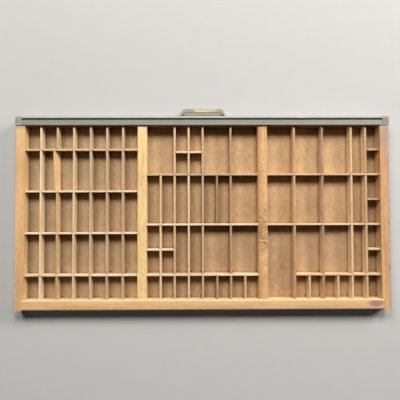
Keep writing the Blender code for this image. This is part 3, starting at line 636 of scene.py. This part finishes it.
def enamel(name, base, worn, wear, chip_range, seed, grime_and_shade=0.55):
    """Old grey-green enamel on metal; wear is one of the functions above."""
    mat = Finish(name, (seed * 1.7, seed * 2.3, seed * 0.9))
    shift_x, shift_y, _ = mat.shift
    fine = mat.noise(420, mat.shift, detail=3.0, rough=0.6)
    drag = mat.noise((14, 260, 260), mat.shift, detail=3.0, rough=0.6)
    cloud = mat.noise((22, 60, 60), mat.shift, detail=3.0, rough=0.55)
    mottle = mat.mottle((fine, 0.45), (drag, 0.65), (cloud, 0.6))
    mat.colour = mat.two_tone(mottle, shade(base, 0.72, 0.74, 0.74), shade(base, 1.26, 1.24, 1.24))
    rub = mat.noise((60, 300, 300), mat.shift, detail=4.0, rough=0.65)
    brass = wear(mat, base, worn, rub)
    # chips down to rusty primer, and pale flecks
    chip = mat.noise((190, 230, 190), (shift_y, shift_x, 2), detail=4.0, rough=0.7)
    chip = chip.ramp(*chip_range)
    mat.stain((0.115, 0.070, 0.045), chip * 0.75)
    pale = mat.noise(330, (4, shift_x, shift_y))
    mat.stain((0.56, 0.56, 0.50), pale.ramp(0.68, 0.76) * 0.55)
    # grime and painted shade in the corners, rust along the lower edge
    mat.stain((0.060, 0.050, 0.035), mat.crease(0.005).ramp(0.35, 0.9) * grime_and_shade)
    low = mat.z.falling(0.0014, 0.0060) * rub.ramp(0.42, 0.60)
    mat.stain((0.17, 0.085, 0.045), low * 0.8)
    bare = mat.highest(None if brass is None else brass * 0.25, chip * 0.4)
    return mat.finish(mottle.ramp(0.2, 0.8, low=0.56, high=0.40), metallic=bare,
                      height=fine * 0.35 + drag * 0.3 - chip * 0.5, strength=0.28, distance=0.0003)


def metal(name, base, dark, seed, rough=0.42):
    mat = Finish(name, (seed * 2.1, seed * 1.3, seed * 3.7))
    grit = mat.noise(900, mat.shift, detail=3.0, rough=0.65)
    patches = mat.noise(260, mat.shift, detail=3.0, rough=0.6)
    mat.colour = mat.two_tone(patches.ramp(0.38, 0.64), dark, base)
    mat.stain(shade(dark, 0.55, 0.5, 0.45), grit.ramp(0.60, 0.72) * 0.5)
    # grime and painted shade in the crevices
    mat.stain((0.03, 0.024, 0.018), mat.crease(0.0015).ramp(0.35, 0.9) * 0.8)
    return mat.finish(grit.ramp(0.3, 0.7, low=rough - 0.08, high=rough + 0.16),
                      metallic=patches.ramp(0.4, 0.6, low=0.45, high=0.85),
                      height=grit, strength=0.25, distance=0.0002)


def paper(name):
    mat = Finish(name)
    fibre = mat.noise(700, detail=3.0, rough=0.6)
    cloud = mat.noise(45, detail=4.0, rough=0.6)
    mat.colour = mat.two_tone(fibre, (0.56, 0.48, 0.34), (0.70, 0.63, 0.47))
    mat.stain((0.45, 0.33, 0.19), cloud.ramp(0.48, 0.70) * 0.6)
    foxing = mat.noise(240, (2, 3, 4))
    mat.stain((0.30, 0.18, 0.09), foxing.ramp(0.66, 0.72) * 0.6)
    mat.stain((0.36, 0.26, 0.15), abs(mat.x).ramp(0.0385, 0.0430) * 0.45)
    return mat.finish(rough=0.86, height=fibre, strength=0.3, distance=0.00015)


def plaster(name):
    mat = Finish(name)
    grit = mat.noise(1400, detail=3.0)
    mat.colour = mat.two_tone(grit, (0.58, 0.56, 0.52), (0.86, 0.85, 0.80))
    return mat.finish(rough=0.9, height=grit, strength=0.5, distance=0.0002)


# ------------------------------------------------------------------ meshes
def grab(node):
    """The CAD node's mesh with its triangles joined into flat faces."""
    shape = bmesh.new()
    shape.from_mesh(frame["nodes"][node].data)
    bmesh.ops.remove_doubles(shape, verts=shape.verts, dist=WELD)
    bmesh.ops.recalc_face_normals(shape, faces=shape.faces)
    bmesh.ops.dissolve_limit(shape, angle_limit=math.radians(0.8), verts=shape.verts,
                             edges=shape.edges, use_dissolve_boundaries=False)
    return shape


def ease(shape, width, segments=2, pick=None, min_length=0.0012, angle=30.0):
    """Rounds the convex edges sharper than angle, in degrees."""
    shape.normal_update()
    edges = [edge for edge in shape.edges
             if len(edge.link_faces) == 2 and edge.is_convex
             and edge.calc_face_angle(0.0) > math.radians(angle)
             and edge.calc_length() > min_length and (pick is None or pick(edge))]
    if edges:
        bmesh.ops.bevel(shape, geom=edges, offset=width, offset_type="OFFSET", segments=segments,
                        profile=0.5, affect="EDGES", clamp_overlap=True, loop_slide=True)


def cut_at(shape, axis, places):
    normal = Vector((axis == 0, axis == 1, axis == 2))
    for place in places:
        bmesh.ops.bisect_plane(shape, geom=shape.verts[:] + shape.edges[:] + shape.faces[:],
                               dist=1e-6, plane_co=normal * place, plane_no=normal,
                               clear_inner=False, clear_outer=False)


def stations(start, end, step, extra=()):
    """Even places between start and end; an extra one pushes out its close neighbours."""
    count = max(1, int(math.ceil((end - start) / step)))
    places = [start + (end - start) * i / count for i in range(1, count)]
    for mark in extra:
        if start + MIN_STATION_GAP < mark < end - MIN_STATION_GAP:
            places = [place for place in places if abs(place - mark) > MIN_STATION_GAP] + [mark]
    return sorted(places)


def cut_evenly(shape, box, steps):
    """Cuts at even stations; steps is a list of (axis, step)."""
    low, high = box
    for axis, step in steps:
        cut_at(shape, axis, stations(low[axis], high[axis], step))


def uneven(shape, height, scale, seed):
    shape.normal_update()
    offset = Vector((seed * 3.17, seed * 1.71, seed * 0.93))
    for vert in shape.verts:
        swell = (noise.noise(vert.co * scale + offset) * height
                 + noise.noise(vert.co * scale * 3.3 + offset * 2) * height * 0.4)
        vert.co += vert.normal * swell


def nick(shape, spots):
    """Bruises: (centre, radius, depth, direction)."""
    for centre, radius, depth, way in spots:
        for vert in shape.verts:
            away = (vert.co - centre).length / radius
            if away < 1.0:
                vert.co += way * (depth * (1.0 - away * away) ** 2)


def rotate(shape, angle, axis):
    bmesh.ops.rotate(shape, verts=shape.verts, cent=(0, 0, 0),
                     matrix=Matrix.Rotation(angle, 3, axis))


def to_mesh(shape, name):
    mesh = bpy.data.meshes.new(name)
    shape.to_mesh(mesh)
    shape.free()
    return mesh


def sealed(shape, name):
    bmesh.ops.remove_doubles(shape, verts=shape.verts, dist=WELD)
    bmesh.ops.dissolve_degenerate(shape, dist=1e-6, edges=shape.edges)
    bmesh.ops.triangulate(shape, faces=[face for face in shape.faces if len(face.verts) > 4])
    bmesh.ops.recalc_face_normals(shape, faces=shape.faces)
    mesh = to_mesh(shape, name)
    for polygon in mesh.polygons:
        polygon.use_smooth = True
    mesh.set_sharp_from_angle(angle=math.radians(38))
    return mesh


def link(name, data):
    obj = bpy.data.objects.new(name, data)
    bpy.context.scene.collection.objects.link(obj)
    return obj


def piece(name, shape, material, node=None, body="case", weighted=True):
    mesh = sealed(shape, name)
    obj = link(name, mesh)
    mesh.materials.append(material)
    if weighted:
        modifier = obj.modifiers.new("normals", "WEIGHTED_NORMAL")
        modifier.keep_sharp = True
        modifier.weight = 60
    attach(obj, body)
    if node:
        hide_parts(node)


def bar(node, name, material, axis, seed, step, arris, swell, bruises, layers,
        bruise=(0.0016, 0.0006), body="case", round_edge=None, round_width=0.0, warp=None):
    """A slat, bar or rail: eased, cut into stations, made uneven and bruised along its top edges.

    arris: width of the eased edges; swell: height of the unevenness; bruise: (radius, depth);
    layers: cuts in the height; round_edge(edge): picks the edges rounded to round_width.
    """
    rnd = random.Random(seed * 31 + 7)
    low, high = BOX[node]
    shape = grab(node)
    if round_edge is not None:
        ease(shape, round_width, 4, round_edge)
        ease(shape, arris, pick=lambda edge: not round_edge(edge), angle=50.0)
    else:
        ease(shape, arris)
    along = 0 if axis == "X" else 1
    across = 1 - along
    spots, marks = [], []
    for _ in range(bruises):
        place = rnd.uniform(low[along] + 0.006, high[along] - 0.006)
        radius = rnd.uniform(0.5, 1.0) * bruise[0] + 0.0006
        edge = rnd.choice((low[across], high[across]))
        centre = Vector((0, 0, high.z))
        centre[along], centre[across] = place, edge
        way = Vector((0, 0, -1.0))
        way[across] = 0.8 if edge == low[across] else -0.8
        spots.append((centre, radius, rnd.uniform(0.35, 1.0) * bruise[1], way.normalized()))
        marks += [place - radius * 0.6, place, place + radius * 0.6]
    cut_at(shape, along, stations(low[along], high[along], step, marks))
    cut_at(shape, 2, stations(low.z, high.z, (high.z - low.z) / layers))
    if high[across] - low[across] > 0.012:
        cut_at(shape, across, stations(low[across], high[across], 0.0052))
    uneven(shape, swell, 38.0, seed)
    nick(shape, spots)
    if warp is not None:
        for vert in shape.verts:
            vert.co = warp(vert.co)
    piece(name, shape, material, node, body)


# ------------------------------------------------------------------ camera, light, floor
def camera():
    lens = bpy.data.cameras.new("camera")
    lens.sensor_fit = "HORIZONTAL"
    lens.sensor_width = 36.0
    lens.lens = 38.7
    lens.clip_start = 0.01
    obj = link("camera", lens)
    # looks down with +Y towards the bottom of the picture, then leans a little about each axis
    place = Vector((0.0154, 0.00485, 0.9711))
    lean_x, lean_y, lean_z = (math.radians(angle) for angle in (-1.987, 0.531, -0.151))
    lean = (Matrix.Rotation(lean_z, 3, "Z") @ Matrix.Rotation(lean_y, 3, "Y")
            @ Matrix.Rotation(lean_x, 3, "X"))
    half_turn = Matrix(((-1, 0, 0), (0, -1, 0), (0, 0, 1)))
    obj.matrix_world = Matrix.Translation(place) @ (lean @ half_turn).to_4x4()
    bpy.context.scene.camera = obj


def area_light(name, place, size, power, colour=(1.0, 0.97, 0.93)):
    """A rectangular light aimed at the middle of the case."""
    light = bpy.data.lights.new(name, "AREA")
    light.shape = "RECTANGLE"
    light.size, light.size_y = size
    light.energy = power
    light.color = colour
    obj = link(name, light)
    obj.location = place
    obj.rotation_euler = (-Vector(place)).to_track_quat("-Z", "Y").to_euler()


def floor():
    shape = bmesh.new()
    bmesh.ops.create_grid(shape, x_segments=16, y_segments=16, size=9.0)
    mesh = to_mesh(shape, "floor")
    obj = link("floor", mesh)
    obj.location = (0, 0, -0.0006)
    mat = Finish("studio_floor")
    grit = mat.noise(30, detail=3.0)
    # far from the object the floor runs out into the pale backdrop; only the camera sees this
    away = mat.math("SQRT", mat.x * mat.x + mat.y * mat.y)
    near = mat.two_tone(grit, (0.490, 0.489, 0.485), (0.515, 0.514, 0.510))
    mat.colour = mat.gain(near, away.ramp(0.9, 2.3, low=1.0, high=0.04))
    mesh.materials.append(mat.finish(rough=0.85))
    camera_ray = Field(mat, mat.node("ShaderNodeLightPath").outputs["Is Camera Ray"])
    mat.put(mat.bsdf.inputs["Emission Color"], mat.rgb((0.62, 0.62, 0.61)))
    mat.put(mat.bsdf.inputs["Emission Strength"], away.ramp(0.8, 2.4, high=0.92) * camera_ray)


def world():
    """A faint blue light; the camera sees a pale backdrop in its place."""
    backdrop = bpy.data.worlds.new("world")
    bpy.context.scene.world = backdrop
    backdrop.use_nodes = True
    nodes, links = backdrop.node_tree.nodes, backdrop.node_tree.links
    glow = nodes["Background"]
    glow.inputs[0].default_value = (0.75, 0.82, 1.0, 1)
    glow.inputs[1].default_value = 0.010
    seen = nodes.new("ShaderNodeBackground")
    seen.inputs[0].default_value = (0.70, 0.70, 0.69, 1)
    seen.inputs[1].default_value = 0.85
    path = nodes.new("ShaderNodeLightPath")
    both = nodes.new("ShaderNodeMixShader")
    links.new(path.outputs["Is Camera Ray"], both.inputs[0])
    links.new(glow.outputs[0], both.inputs[1])
    links.new(seen.outputs[0], both.inputs[2])
    links.new(both.outputs[0], nodes["World Output"].inputs["Surface"])


def studio():
    floor()
    world()
    area_light("key", place=(-0.45, -2.2, 2.7), size=(1.1, 1.2), power=80.0)
    area_light("key2", place=(1.25, -2.1, 2.6), size=(0.9, 1.2), power=66.0)
    area_light("key3", place=(-2.2, -1.5, 1.5), size=(1.2, 0.9), power=66.0)
    area_light("back_fill", place=(0.4, 3.0, 0.50), size=(1.8, 0.5), power=14.0,
               colour=(0.92, 0.96, 1.0))
    view = bpy.context.scene.view_settings
    view.view_transform = "Standard"
    view.look = "None"


# ------------------------------------------------------------------ the slats
# worn colour of each slat's top
TONE = {
    "centre_cross_slat_1": (0.60, 0.41, 0.25), "centre_cross_slat_2": (0.80, 0.61, 0.43),
    "centre_cross_slat_3": (0.86, 0.68, 0.42), "centre_divider_1": (0.69, 0.48, 0.29),
    "centre_divider_2": (0.64, 0.42, 0.24), "centre_divider_3": (0.71, 0.50, 0.31),
    "centre_divider_4": (0.52, 0.36, 0.21), "centre_divider_5_middle": (0.36, 0.22, 0.11),
    "centre_divider_5_rear": (0.41, 0.26, 0.14), "centre_divider_6": (0.43, 0.27, 0.15),
    "centre_divider_7": (0.62, 0.42, 0.22), "centre_short_slat_front": (0.78, 0.58, 0.37),
    "centre_short_slat_rear": (0.78, 0.58, 0.38), "left_cross_slat_1": (0.65, 0.43, 0.25),
    "left_cross_slat_2": (0.74, 0.53, 0.33), "left_cross_slat_3": (0.78, 0.56, 0.32),
    "left_divider_2": (0.54, 0.33, 0.18), "left_divider_3_rear": (0.63, 0.41, 0.23),
    "left_divider_4": (0.42, 0.26, 0.16), "left_divider_5_rear": (0.66, 0.45, 0.26),
    "left_divider_6": (0.72, 0.49, 0.27), "left_divider_7": (0.56, 0.36, 0.22),
    "left_short_slat_1": (0.48, 0.32, 0.20), "left_short_slat_2": (0.52, 0.32, 0.18),
    "left_short_slat_3": (0.71, 0.52, 0.32), "right_cross_slat_1": (0.64, 0.45, 0.28),
    "right_cross_slat_2": (0.84, 0.66, 0.43), "right_cross_slat_3": (0.84, 0.65, 0.43),
    "right_cross_slat_4": (0.86, 0.68, 0.42), "right_divider_1": (0.82, 0.60, 0.37),
    "right_divider_2_front": (0.58, 0.42, 0.23), "right_divider_2_rear": (0.56, 0.36, 0.19),
    "right_divider_3": (0.70, 0.49, 0.29), "right_divider_4": (0.57, 0.40, 0.23),
    "right_divider_5": (0.54, 0.35, 0.20), "right_divider_6": (0.54, 0.36, 0.21),
}

# sides that are lighter than the worn top would suggest
SIDE = {"left_divider_4": 1.85, "right_divider_2_rear": 1.32, "right_divider_2_front": 1.20,
        "right_divider_6": 1.15}


def middle_y(node):
    return (BOX[node][0].y + BOX[node][1].y) / 2


def bowed(point):
    """The free lengths of the dirty divider have bent towards the middle section, most on top."""
    foot = BOX["left_divider_4"][0].z
    first, second = middle_y("left_cross_slat_1"), middle_y("left_cross_slat_2")
    for start, end, bow in ((FLANGE_END, first, 0.0022), (first, second, 0.0026)):
        if start < point.y < end:
            rise = min(1.0, max(0.0, (point.z - foot) / (SLAT_TOP - foot)))
            swing = math.sin(math.pi * (point.y - start) / (end - start)) ** 2
            return Vector((point.x + bow * swing * rise, point.y, point.z))
    return point


def slats():
    marks = {"right_divider_2_front": green_stain, "left_divider_4": grey_top}
    for seed, (node, tone) in enumerate(sorted(TONE.items()), start=1):
        crosswise = "slat" in node
        axis = "X" if crosswise else "Y"
        # the sides of the left-section dividers are painted lighter: a painted highlight for the
        # light on their faces turned towards the middle section
        side = 1.34 if node.startswith("left") and not crosswise else 1.0
        side *= 1.0 if tone[0] > 0.6 else 1.08
        material = wood("maple_" + node, tone, axis, seed, SLAT_TOP, figure=0.9, fleck=0.35,
                        grime_and_shade=0.40 if tone[0] > 0.5 else 0.5, side=SIDE.get(node, side),
                        extra=chipped(node, lapped(node) if crosswise else marks.get(node)))
        size = BOX[node][1] - BOX[node][0]
        dirty = node == "left_divider_4"
        bar(node, "slat_" + node, material, axis, seed, step=0.0046, arris=0.00045,
            swell=0.00013, bruises=max(3, int(max(size.x, size.y) / 0.028)),
            bruise=(0.0018, 0.00055), layers=4, warp=bowed if dirty else None)


# ------------------------------------------------------------------ rails, bars and board
def rear_rail():
    def top_inner(edge):
        return all(abs(vert.co.y - REAR_IN_Y) < 1e-4 and vert.co.z > RAIL_TOP - 1e-4
                   for vert in edge.verts)

    rim = dict(axis="y", edge=REAR_OUT_Y + 0.0002, width=0.0050, colour=(0.49, 0.365, 0.245),
               amount=0.90)
    material = wood("maple_rear_rail", (0.74, 0.465, 0.225), "X", 51, RAIL_TOP, figure=0.8,
                    fleck=0.25, grime_and_shade=0.30, rim=rim, extra=smudged)
    bar("rear_rail", "rail_rear", material, "X", 51, step=0.0065, arris=0.0005,
        swell=0.00020, bruises=26, bruise=(0.0030, 0.0009), layers=3,
        round_edge=top_inner, round_width=0.0016)


def side_rails():
    rim = dict(axis="x", edge=HALF_WIDTH, width=0.0056, colour=(0.62, 0.50, 0.39), amount=0.85)
    material = wood("maple_side_right", (0.655, 0.400, 0.185), "Y", 52, RAIL_TOP, figure=0.85,
                    fleck=0.28, grime_and_shade=0.30, side=1.16, rim=rim, extra=front_rubbed)
    bar("side_rail_right", "rail_side_right", material, "Y", 52, step=0.0065,
        arris=0.0006, swell=0.00020, bruises=16, bruise=(0.0030, 0.0009), layers=3)
    rim = dict(axis="x", edge=HALF_WIDTH, width=0.0084, colour=(0.435, 0.300, 0.225), amount=1.0)
    material = wood("maple_side_left", (0.62, 0.360, 0.175), "Y", 53, RAIL_TOP, figure=0.85,
                    fleck=0.35, grime_and_shade=0.36, rim=rim, extra=battered)
    bar("side_rail_left", "rail_side_left", material, "Y", 53, step=0.0065,
        arris=0.0006, swell=0.00024, bruises=30, bruise=(0.0034, 0.0012), layers=3)


def front_rail():
    material = wood("maple_front_rail", (0.25, 0.145, 0.070), "X", 54, RAIL_TOP, figure=0.8,
                    fleck=0.30, grime_and_shade=0.45, extra=shade_under_steel)
    bar("front_rail", "rail_front", material, "X", 54, step=0.0120,
        arris=0.0004, swell=0.00010, bruises=0, layers=3)


def main_bars():
    material = wood("maple_bar_right", (0.82, 0.565, 0.260), "Y", 55, BAR_TOP, figure=0.9,
                    fleck=0.30, grime_and_shade=0.28, extra=flecked)
    bar("main_bar_right", "bar_right", material, "Y", 55, step=0.0055,
        arris=0.0006, swell=0.00016, bruises=14, bruise=(0.0026, 0.0007), layers=3)
    material = wood("maple_bar_left", (0.680, 0.405, 0.185), "Y", 56, BAR_TOP, figure=1.0,
                    fleck=0.42, grime_and_shade=0.34, extra=scored)
    bar("main_bar_left", "bar_left", material, "Y", 56, step=0.0045,
        arris=0.0006, swell=0.00020, bruises=34, bruise=(0.0034, 0.0012), layers=3)


def base_board():
    shape = grab("bottom_panel")
    ease(shape, 0.0006)
    cut_evenly(shape, BOX["bottom_panel"], [(0, 0.014), (1, 0.014)])
    uneven(shape, 0.00016, 11.0, seed=57)
    piece("base_board", shape, millboard("millboard"), "bottom_panel")


# ------------------------------------------------------------------ steel and pull
def steel_apron():
    shape = grab("steel_front")
    ease(shape, 0.00035)
    cut_evenly(shape, BOX["steel_front"], [(0, 0.0075), (2, 0.007)])
    uneven(shape, 0.00010, 26.0, seed=61)
    rnd = random.Random(5)
    way = Vector((0, 1, -0.25)).normalized()
    nick(shape, [(Vector((rnd.uniform(-0.37, 0.37), FRONT_Y, rnd.uniform(0.028, 0.0364))),
                  rnd.uniform(0.006, 0.013), rnd.uniform(0.0002, 0.0006), way)
                 for _ in range(16)])
    material = enamel("enamel_front", base=(0.232, 0.246, 0.204), worn=(0.455, 0.465, 0.425),
                      wear=front_wear, chip_range=(0.66, 0.72), seed=1)
    piece("steel_apron", shape, material, "steel_front")


def corner_cap(node, sign, base, worn, seed):
    """A cap over a front corner; sign is the side, +1 at +X."""
    shape = grab(node)
    low, high = BOX[node]
    ease(shape, 0.00030, angle=50)
    cut_evenly(shape, BOX[node], [(0, 0.0030), (1, 0.0035), (2, 0.0050)])
    uneven(shape, 0.00016, 90.0, seed + 59)
    corner = Vector((high.x if sign > 0 else low.x, low.y, high.z))
    nick(shape, [(corner, 0.007, 0.0007, Vector((-0.6 * sign, 0.6, -0.5)).normalized())])
    material = enamel("enamel_" + node, base, worn, cap_wear, chip_range=(0.60, 0.68), seed=seed)
    piece("steel_" + node, shape, material, node)


def pull():
    shape = grab("drawer_pull")
    ease(shape, 0.00035, angle=40, min_length=0.0016)
    cut_evenly(shape, BOX["drawer_pull"], [(0, 0.0040), (2, 0.0040)])
    uneven(shape, 0.00010, 60.0, seed=66)
    material = enamel("enamel_pull", base=(0.250, 0.258, 0.205), worn=(0.43, 0.42, 0.35),
                      wear=pull_wear, chip_range=(0.64, 0.70), seed=9, grime_and_shade=0.30)
    piece("pull_casting", shape, material, "drawer_pull")


# ------------------------------------------------------------------ screws and nails
def lathe(profile, parts):
    """A closed solid turned about +Z from (radius, z); its first and last point are on the axis."""
    shape = bmesh.new()
    rings = []
    for radius, z in profile:
        if radius < 1e-7:
            rings.append([shape.verts.new((0, 0, z))])
            continue
        angles = [2 * math.pi * k / parts for k in range(parts)]
        rings.append([shape.verts.new((radius * math.cos(angle), radius * math.sin(angle), z))
                      for angle in angles])
    for upper, lower in zip(rings, rings[1:]):
        for k in range(parts):
            after = (k + 1) % parts
            corners = [upper[k % len(upper)], upper[after % len(upper)],
                       lower[after % len(lower)], lower[k % len(lower)]]
            # on the axis two corners are the same
            shape.faces.new(list(dict.fromkeys(corners)))
    bmesh.ops.recalc_face_normals(shape, faces=shape.faces)
    return shape


def slotted(name, shape, width, depth, top, turn):
    """Cuts a straight slot into a screw head."""
    blank = link(name + "_blank", to_mesh(shape, name))
    cutter = bmesh.new()
    bmesh.ops.create_cube(cutter, size=1.0)
    length, height = 0.012, 0.004
    for vert in cutter.verts:
        vert.co = Vector((vert.co.x * length, vert.co.y * width,
                          vert.co.z * height + top - depth + height / 2))
    rotate(cutter, turn, "Z")
    tool = link(name + "_slot", to_mesh(cutter, name + "_slot"))
    modifier = blank.modifiers.new("slot", "BOOLEAN")
    modifier.object, modifier.operation, modifier.solver = tool, "DIFFERENCE", "EXACT"
    bpy.context.view_layer.update()
    evaluated = blank.evaluated_get(bpy.context.evaluated_depsgraph_get())
    made = bpy.data.meshes.new_from_object(evaluated)
    bpy.data.objects.remove(blank, do_unlink=True)
    bpy.data.objects.remove(tool, do_unlink=True)
    result = bmesh.new()
    result.from_mesh(made)
    return result


def screw(node, seed, turn):
    """A domed screw whose head faces -Y; turn is the angle of its slot."""
    low, high = BOX[node]
    radius = (high.x - low.x) / 2
    dome = 0.0017
    profile = [(0.0, dome)]
    profile += [(radius * math.sin(angle), dome * math.cos(angle) ** 0.9)
                for angle in (0.2, 0.45, 0.7, 0.95, 1.2, 1.42)]
    profile += [(radius, 0.00006), (radius * 0.985, 0.0), (radius * 0.45, -0.00005),
                (radius * 0.44, -0.006), (0.0, -0.0085)]
    shape = slotted(node, lathe(profile, 32), width=0.00085, depth=0.00095, top=dome, turn=turn)
    rotate(shape, math.pi / 2, "X")
    bmesh.ops.translate(shape, verts=shape.verts, vec=Vector(
        ((low.x + high.x) / 2, low.y + dome, (low.z + high.z) / 2)))
    if node.startswith("pull"):
        material = metal("brass_" + node, (0.52, 0.36, 0.15), (0.22, 0.14, 0.06), seed)
    else:
        material = metal("iron_" + node, (0.24, 0.22, 0.20), (0.085, 0.060, 0.045), seed, 0.48)
    piece("screw_" + node, shape, material, node)


def corner_nail(index, side, level):
    """A flat-headed nail in the outer side of a corner cap."""
    node = f"corner_nail_{side}_{level}"
    low, high = BOX[node]
    radius = (high.z - low.z) / 2
    length = high.x - low.x
    shape = lathe([(0.0, -0.00010), (radius * 0.35, -0.00006), (radius * 0.62, 0.0),
                   (radius * 0.92, -0.00004), (radius, -0.0002), (radius, -0.0008),
                   (radius * 0.5, -0.0010), (radius * 0.48, -length + 0.003), (0.0, -length)], 24)
    uneven(shape, 0.00006, 700.0, 70 + index)
    sign = 1 if side == "right" else -1
    rotate(shape, sign * math.pi / 2, "Y")
    bmesh.ops.translate(shape, verts=shape.verts, vec=Vector(
        (high.x if sign > 0 else low.x, (low.y + high.y) / 2, (low.z + high.z) / 2)))
    material = metal("nail_iron_%d" % index, (0.22, 0.19, 0.16), (0.10, 0.055, 0.035), 11 + index,
                     0.5)
    piece("nail_" + node, shape, material, node)


def drive(joined, place, radius, rise, seed, down=False):
    """Adds one small nail head, facing up or down, to a joined shape."""
    shape = lathe([(0.0, rise), (radius * 0.6, rise * 0.92), (radius * 0.93, rise * 0.55),
                   (radius, 0.0), (radius * 0.9, -0.0003), (0.0, -0.0009)], 14)
    uneven(shape, radius * 0.05, 900.0, seed)
    if down:
        rotate(shape, math.pi, "X")
    bmesh.ops.translate(shape, verts=shape.verts, vec=Vector(place))
    mesh = to_mesh(shape, "nail_head")
    joined.from_mesh(mesh)
    bpy.data.meshes.remove(mesh)


def board_nails():
    """Nails that hold the board, seen on the underside; not in the CAD."""
    joined = bmesh.new()
    rnd = random.Random(9)

    def nail(x, y, seed):
        drive(joined, (x, y, 0.0001), radius=0.0019, rise=0.0005, seed=seed, down=True)

    def stray():
        return rnd.uniform(-0.004, 0.004)

    for k in range(11):
        x = 0.077 * (k - 5)
        nail(x + stray(), middle_y("rear_rail"), k)
        nail(x + stray(), -0.2005, 20 + k)
    for side in (-1, 1):
        for k in range(5):
            nail(side * (HALF_WIDTH - 0.0102), -0.148 + 0.072 * k + stray(), 40 + k)
        for k in range(4):
            nail(side * BAR_X, -0.135 + 0.09 * k + stray(), 50 + k)
    material = metal("iron_board_nails", (0.25, 0.22, 0.19), (0.12, 0.065, 0.040), 21, 0.5)
    piece("board_nails", joined, material)


# section, number of the cross slat, numbers of the dividers it is nailed to
BRADS = (
    ("centre", 1, (2, 3, 4, 6)), ("centre", 2, (1, 4, 6)), ("left", 1, (2, 4, 6)),
    ("left", 2, (2, 4, 6, 7)), ("right", 4, (1, 4)), ("left", 3, (4, 6)),
)


def lap_brads():
    """Brads in the laps; not in the CAD."""
    joined = bmesh.new()
    # the stray of these brads goes on from the draws of the board nails: 2 x 11 + 2 x (5 + 4)
    rnd = random.Random(9)
    for _ in range(40):
        rnd.uniform(-0.004, 0.004)
    seed = 100
    for section, slat, dividers in BRADS:
        y = middle_y(f"{section}_cross_slat_{slat}")
        for divider in dividers:
            low, high = BOX[f"{section}_divider_{divider}"]
            x = (low.x + high.x) / 2
            seed += 1
            place = (x + rnd.uniform(0.0002, 0.0012), y + rnd.uniform(-0.0006, 0.0006),
                     SLAT_TOP + 0.00002)
            drive(joined, place, radius=0.00085, rise=0.00012, seed=seed)
    material = metal("iron_brads", (0.14, 0.11, 0.09), (0.07, 0.045, 0.03), 31, 0.55)
    piece("lap_brads", joined, material)


def fasteners():
    screw("pull_screw_right", seed=1, turn=0.35)
    screw("pull_screw_left", seed=2, turn=-0.9)
    screw("front_screw_right", seed=3, turn=1.2)
    screw("front_screw_left", seed=4, turn=0.15)
    corner_nail(0, "left", "high")
    corner_nail(1, "left", "low")
    corner_nail(2, "right", "high")
    corner_nail(3, "right", "low")
    board_nails()
    lap_brads()


# ------------------------------------------------------------------ card and loose parts
def card():
    """The label card: a slightly bulging sheet with worn, rounded upper corners."""
    low, high = BOX["label_card"]
    columns, rows = 44, 10
    thickness, margin, corner, bulge = 0.00042, 0.0002, 0.003, 0.00022
    shape = bmesh.new()

    def vertex(side, u, v):
        x = low.x + margin + (high.x - low.x - 2 * margin) * u
        z = low.z + (high.z - low.z) * v
        from_end = min(u, 1 - u) * (high.x - low.x)
        if v > 0.8 and from_end < corner:
            z -= (corner - from_end) ** 2 / corner * 0.55 * (v - 0.8) / 0.2
        y = (low.y + high.y) / 2 + bulge * math.sin(u * math.pi) - bulge / 2
        y += noise.noise(Vector((x * 60, z * 60, 3.0))) * 0.00010
        # ragged upper edge
        z += noise.noise(Vector((x * 320, 1.0, 0.5))) * 0.00016 * (v > 0.95)
        return shape.verts.new((x, y + side * thickness / 2, z))

    front, back = [[[vertex(side, i / columns, k / rows) for k in range(rows + 1)]
                    for i in range(columns + 1)] for side in (-1, 1)]
    face = shape.faces.new
    for i in range(columns):
        for k in range(rows):
            face((front[i][k], front[i + 1][k], front[i + 1][k + 1], front[i][k + 1]))
            face((back[i][k], back[i][k + 1], back[i + 1][k + 1], back[i + 1][k]))
    for i in range(columns):
        face((front[i][0], back[i][0], back[i + 1][0], front[i + 1][0]))
        face((front[i][rows], front[i + 1][rows], back[i + 1][rows], back[i][rows]))
    for k in range(rows):
        face((front[0][k], front[0][k + 1], back[0][k + 1], back[0][k]))
        face((front[columns][k], back[columns][k], back[columns][k + 1], front[columns][k + 1]))
    piece("card_blank", shape, paper("aged_card"), "label_card", body="label_card",
          weighted=False)


def loose_divider():
    """The loose divider, twisted with age: its two ends lean to opposite sides."""
    node = "loose_divider"
    low, high = BOX[node]
    foot_x, foot_z = 0.321238, low.z

    def twist(point):
        rearward = (point.y - low.y) / (high.y - low.y)
        lean = math.radians(4.0 - 7.8 * rearward)
        x, z = point.x - foot_x, point.z - foot_z
        cosine, sine = math.cos(lean), math.sin(lean)
        return Vector((foot_x + x * cosine + z * sine, point.y, foot_z - x * sine + z * cosine))

    material = wood("maple_loose", (0.70, 0.425, 0.205), "Y", 81, LOOSE_TOP, figure=0.8,
                    fleck=0.35, grime_and_shade=0.18, side=1.14)
    bar(node, "slat_loose", material, "Y", 81, step=0.0040, arris=0.00045,
        swell=0.00014, bruises=5, bruise=(0.0018, 0.0006), body=node, layers=4, warp=twist)


def crumb():
    """Two grains of plaster on the board."""
    shape = bmesh.new()
    for place, radius in (((0.3441, -0.0288, 0.0048), 0.0014), ((0.3466, -0.0262, 0.0045), 0.0009)):
        made = bmesh.ops.create_icosphere(shape, subdivisions=3, radius=radius)["verts"]
        for vert in made:
            vert.co *= 1.0 + 0.35 * noise.noise(vert.co * 900.0)
            vert.co.z *= 0.7
        bmesh.ops.translate(shape, verts=made, vec=Vector(place))
    piece("plaster_crumb", shape, plaster("plaster"), weighted=False)


camera()
studio()
slats()
rear_rail()
side_rails()
front_rail()
main_bars()
base_board()
steel_apron()
corner_cap("corner_cap_right", 1, (0.215, 0.225, 0.185), (0.315, 0.315, 0.265), seed=4)
corner_cap("corner_cap_left", -1, (0.185, 0.185, 0.150), (0.265, 0.255, 0.210), seed=5)
pull()
fasteners()
card()
loose_divider()
crumb()
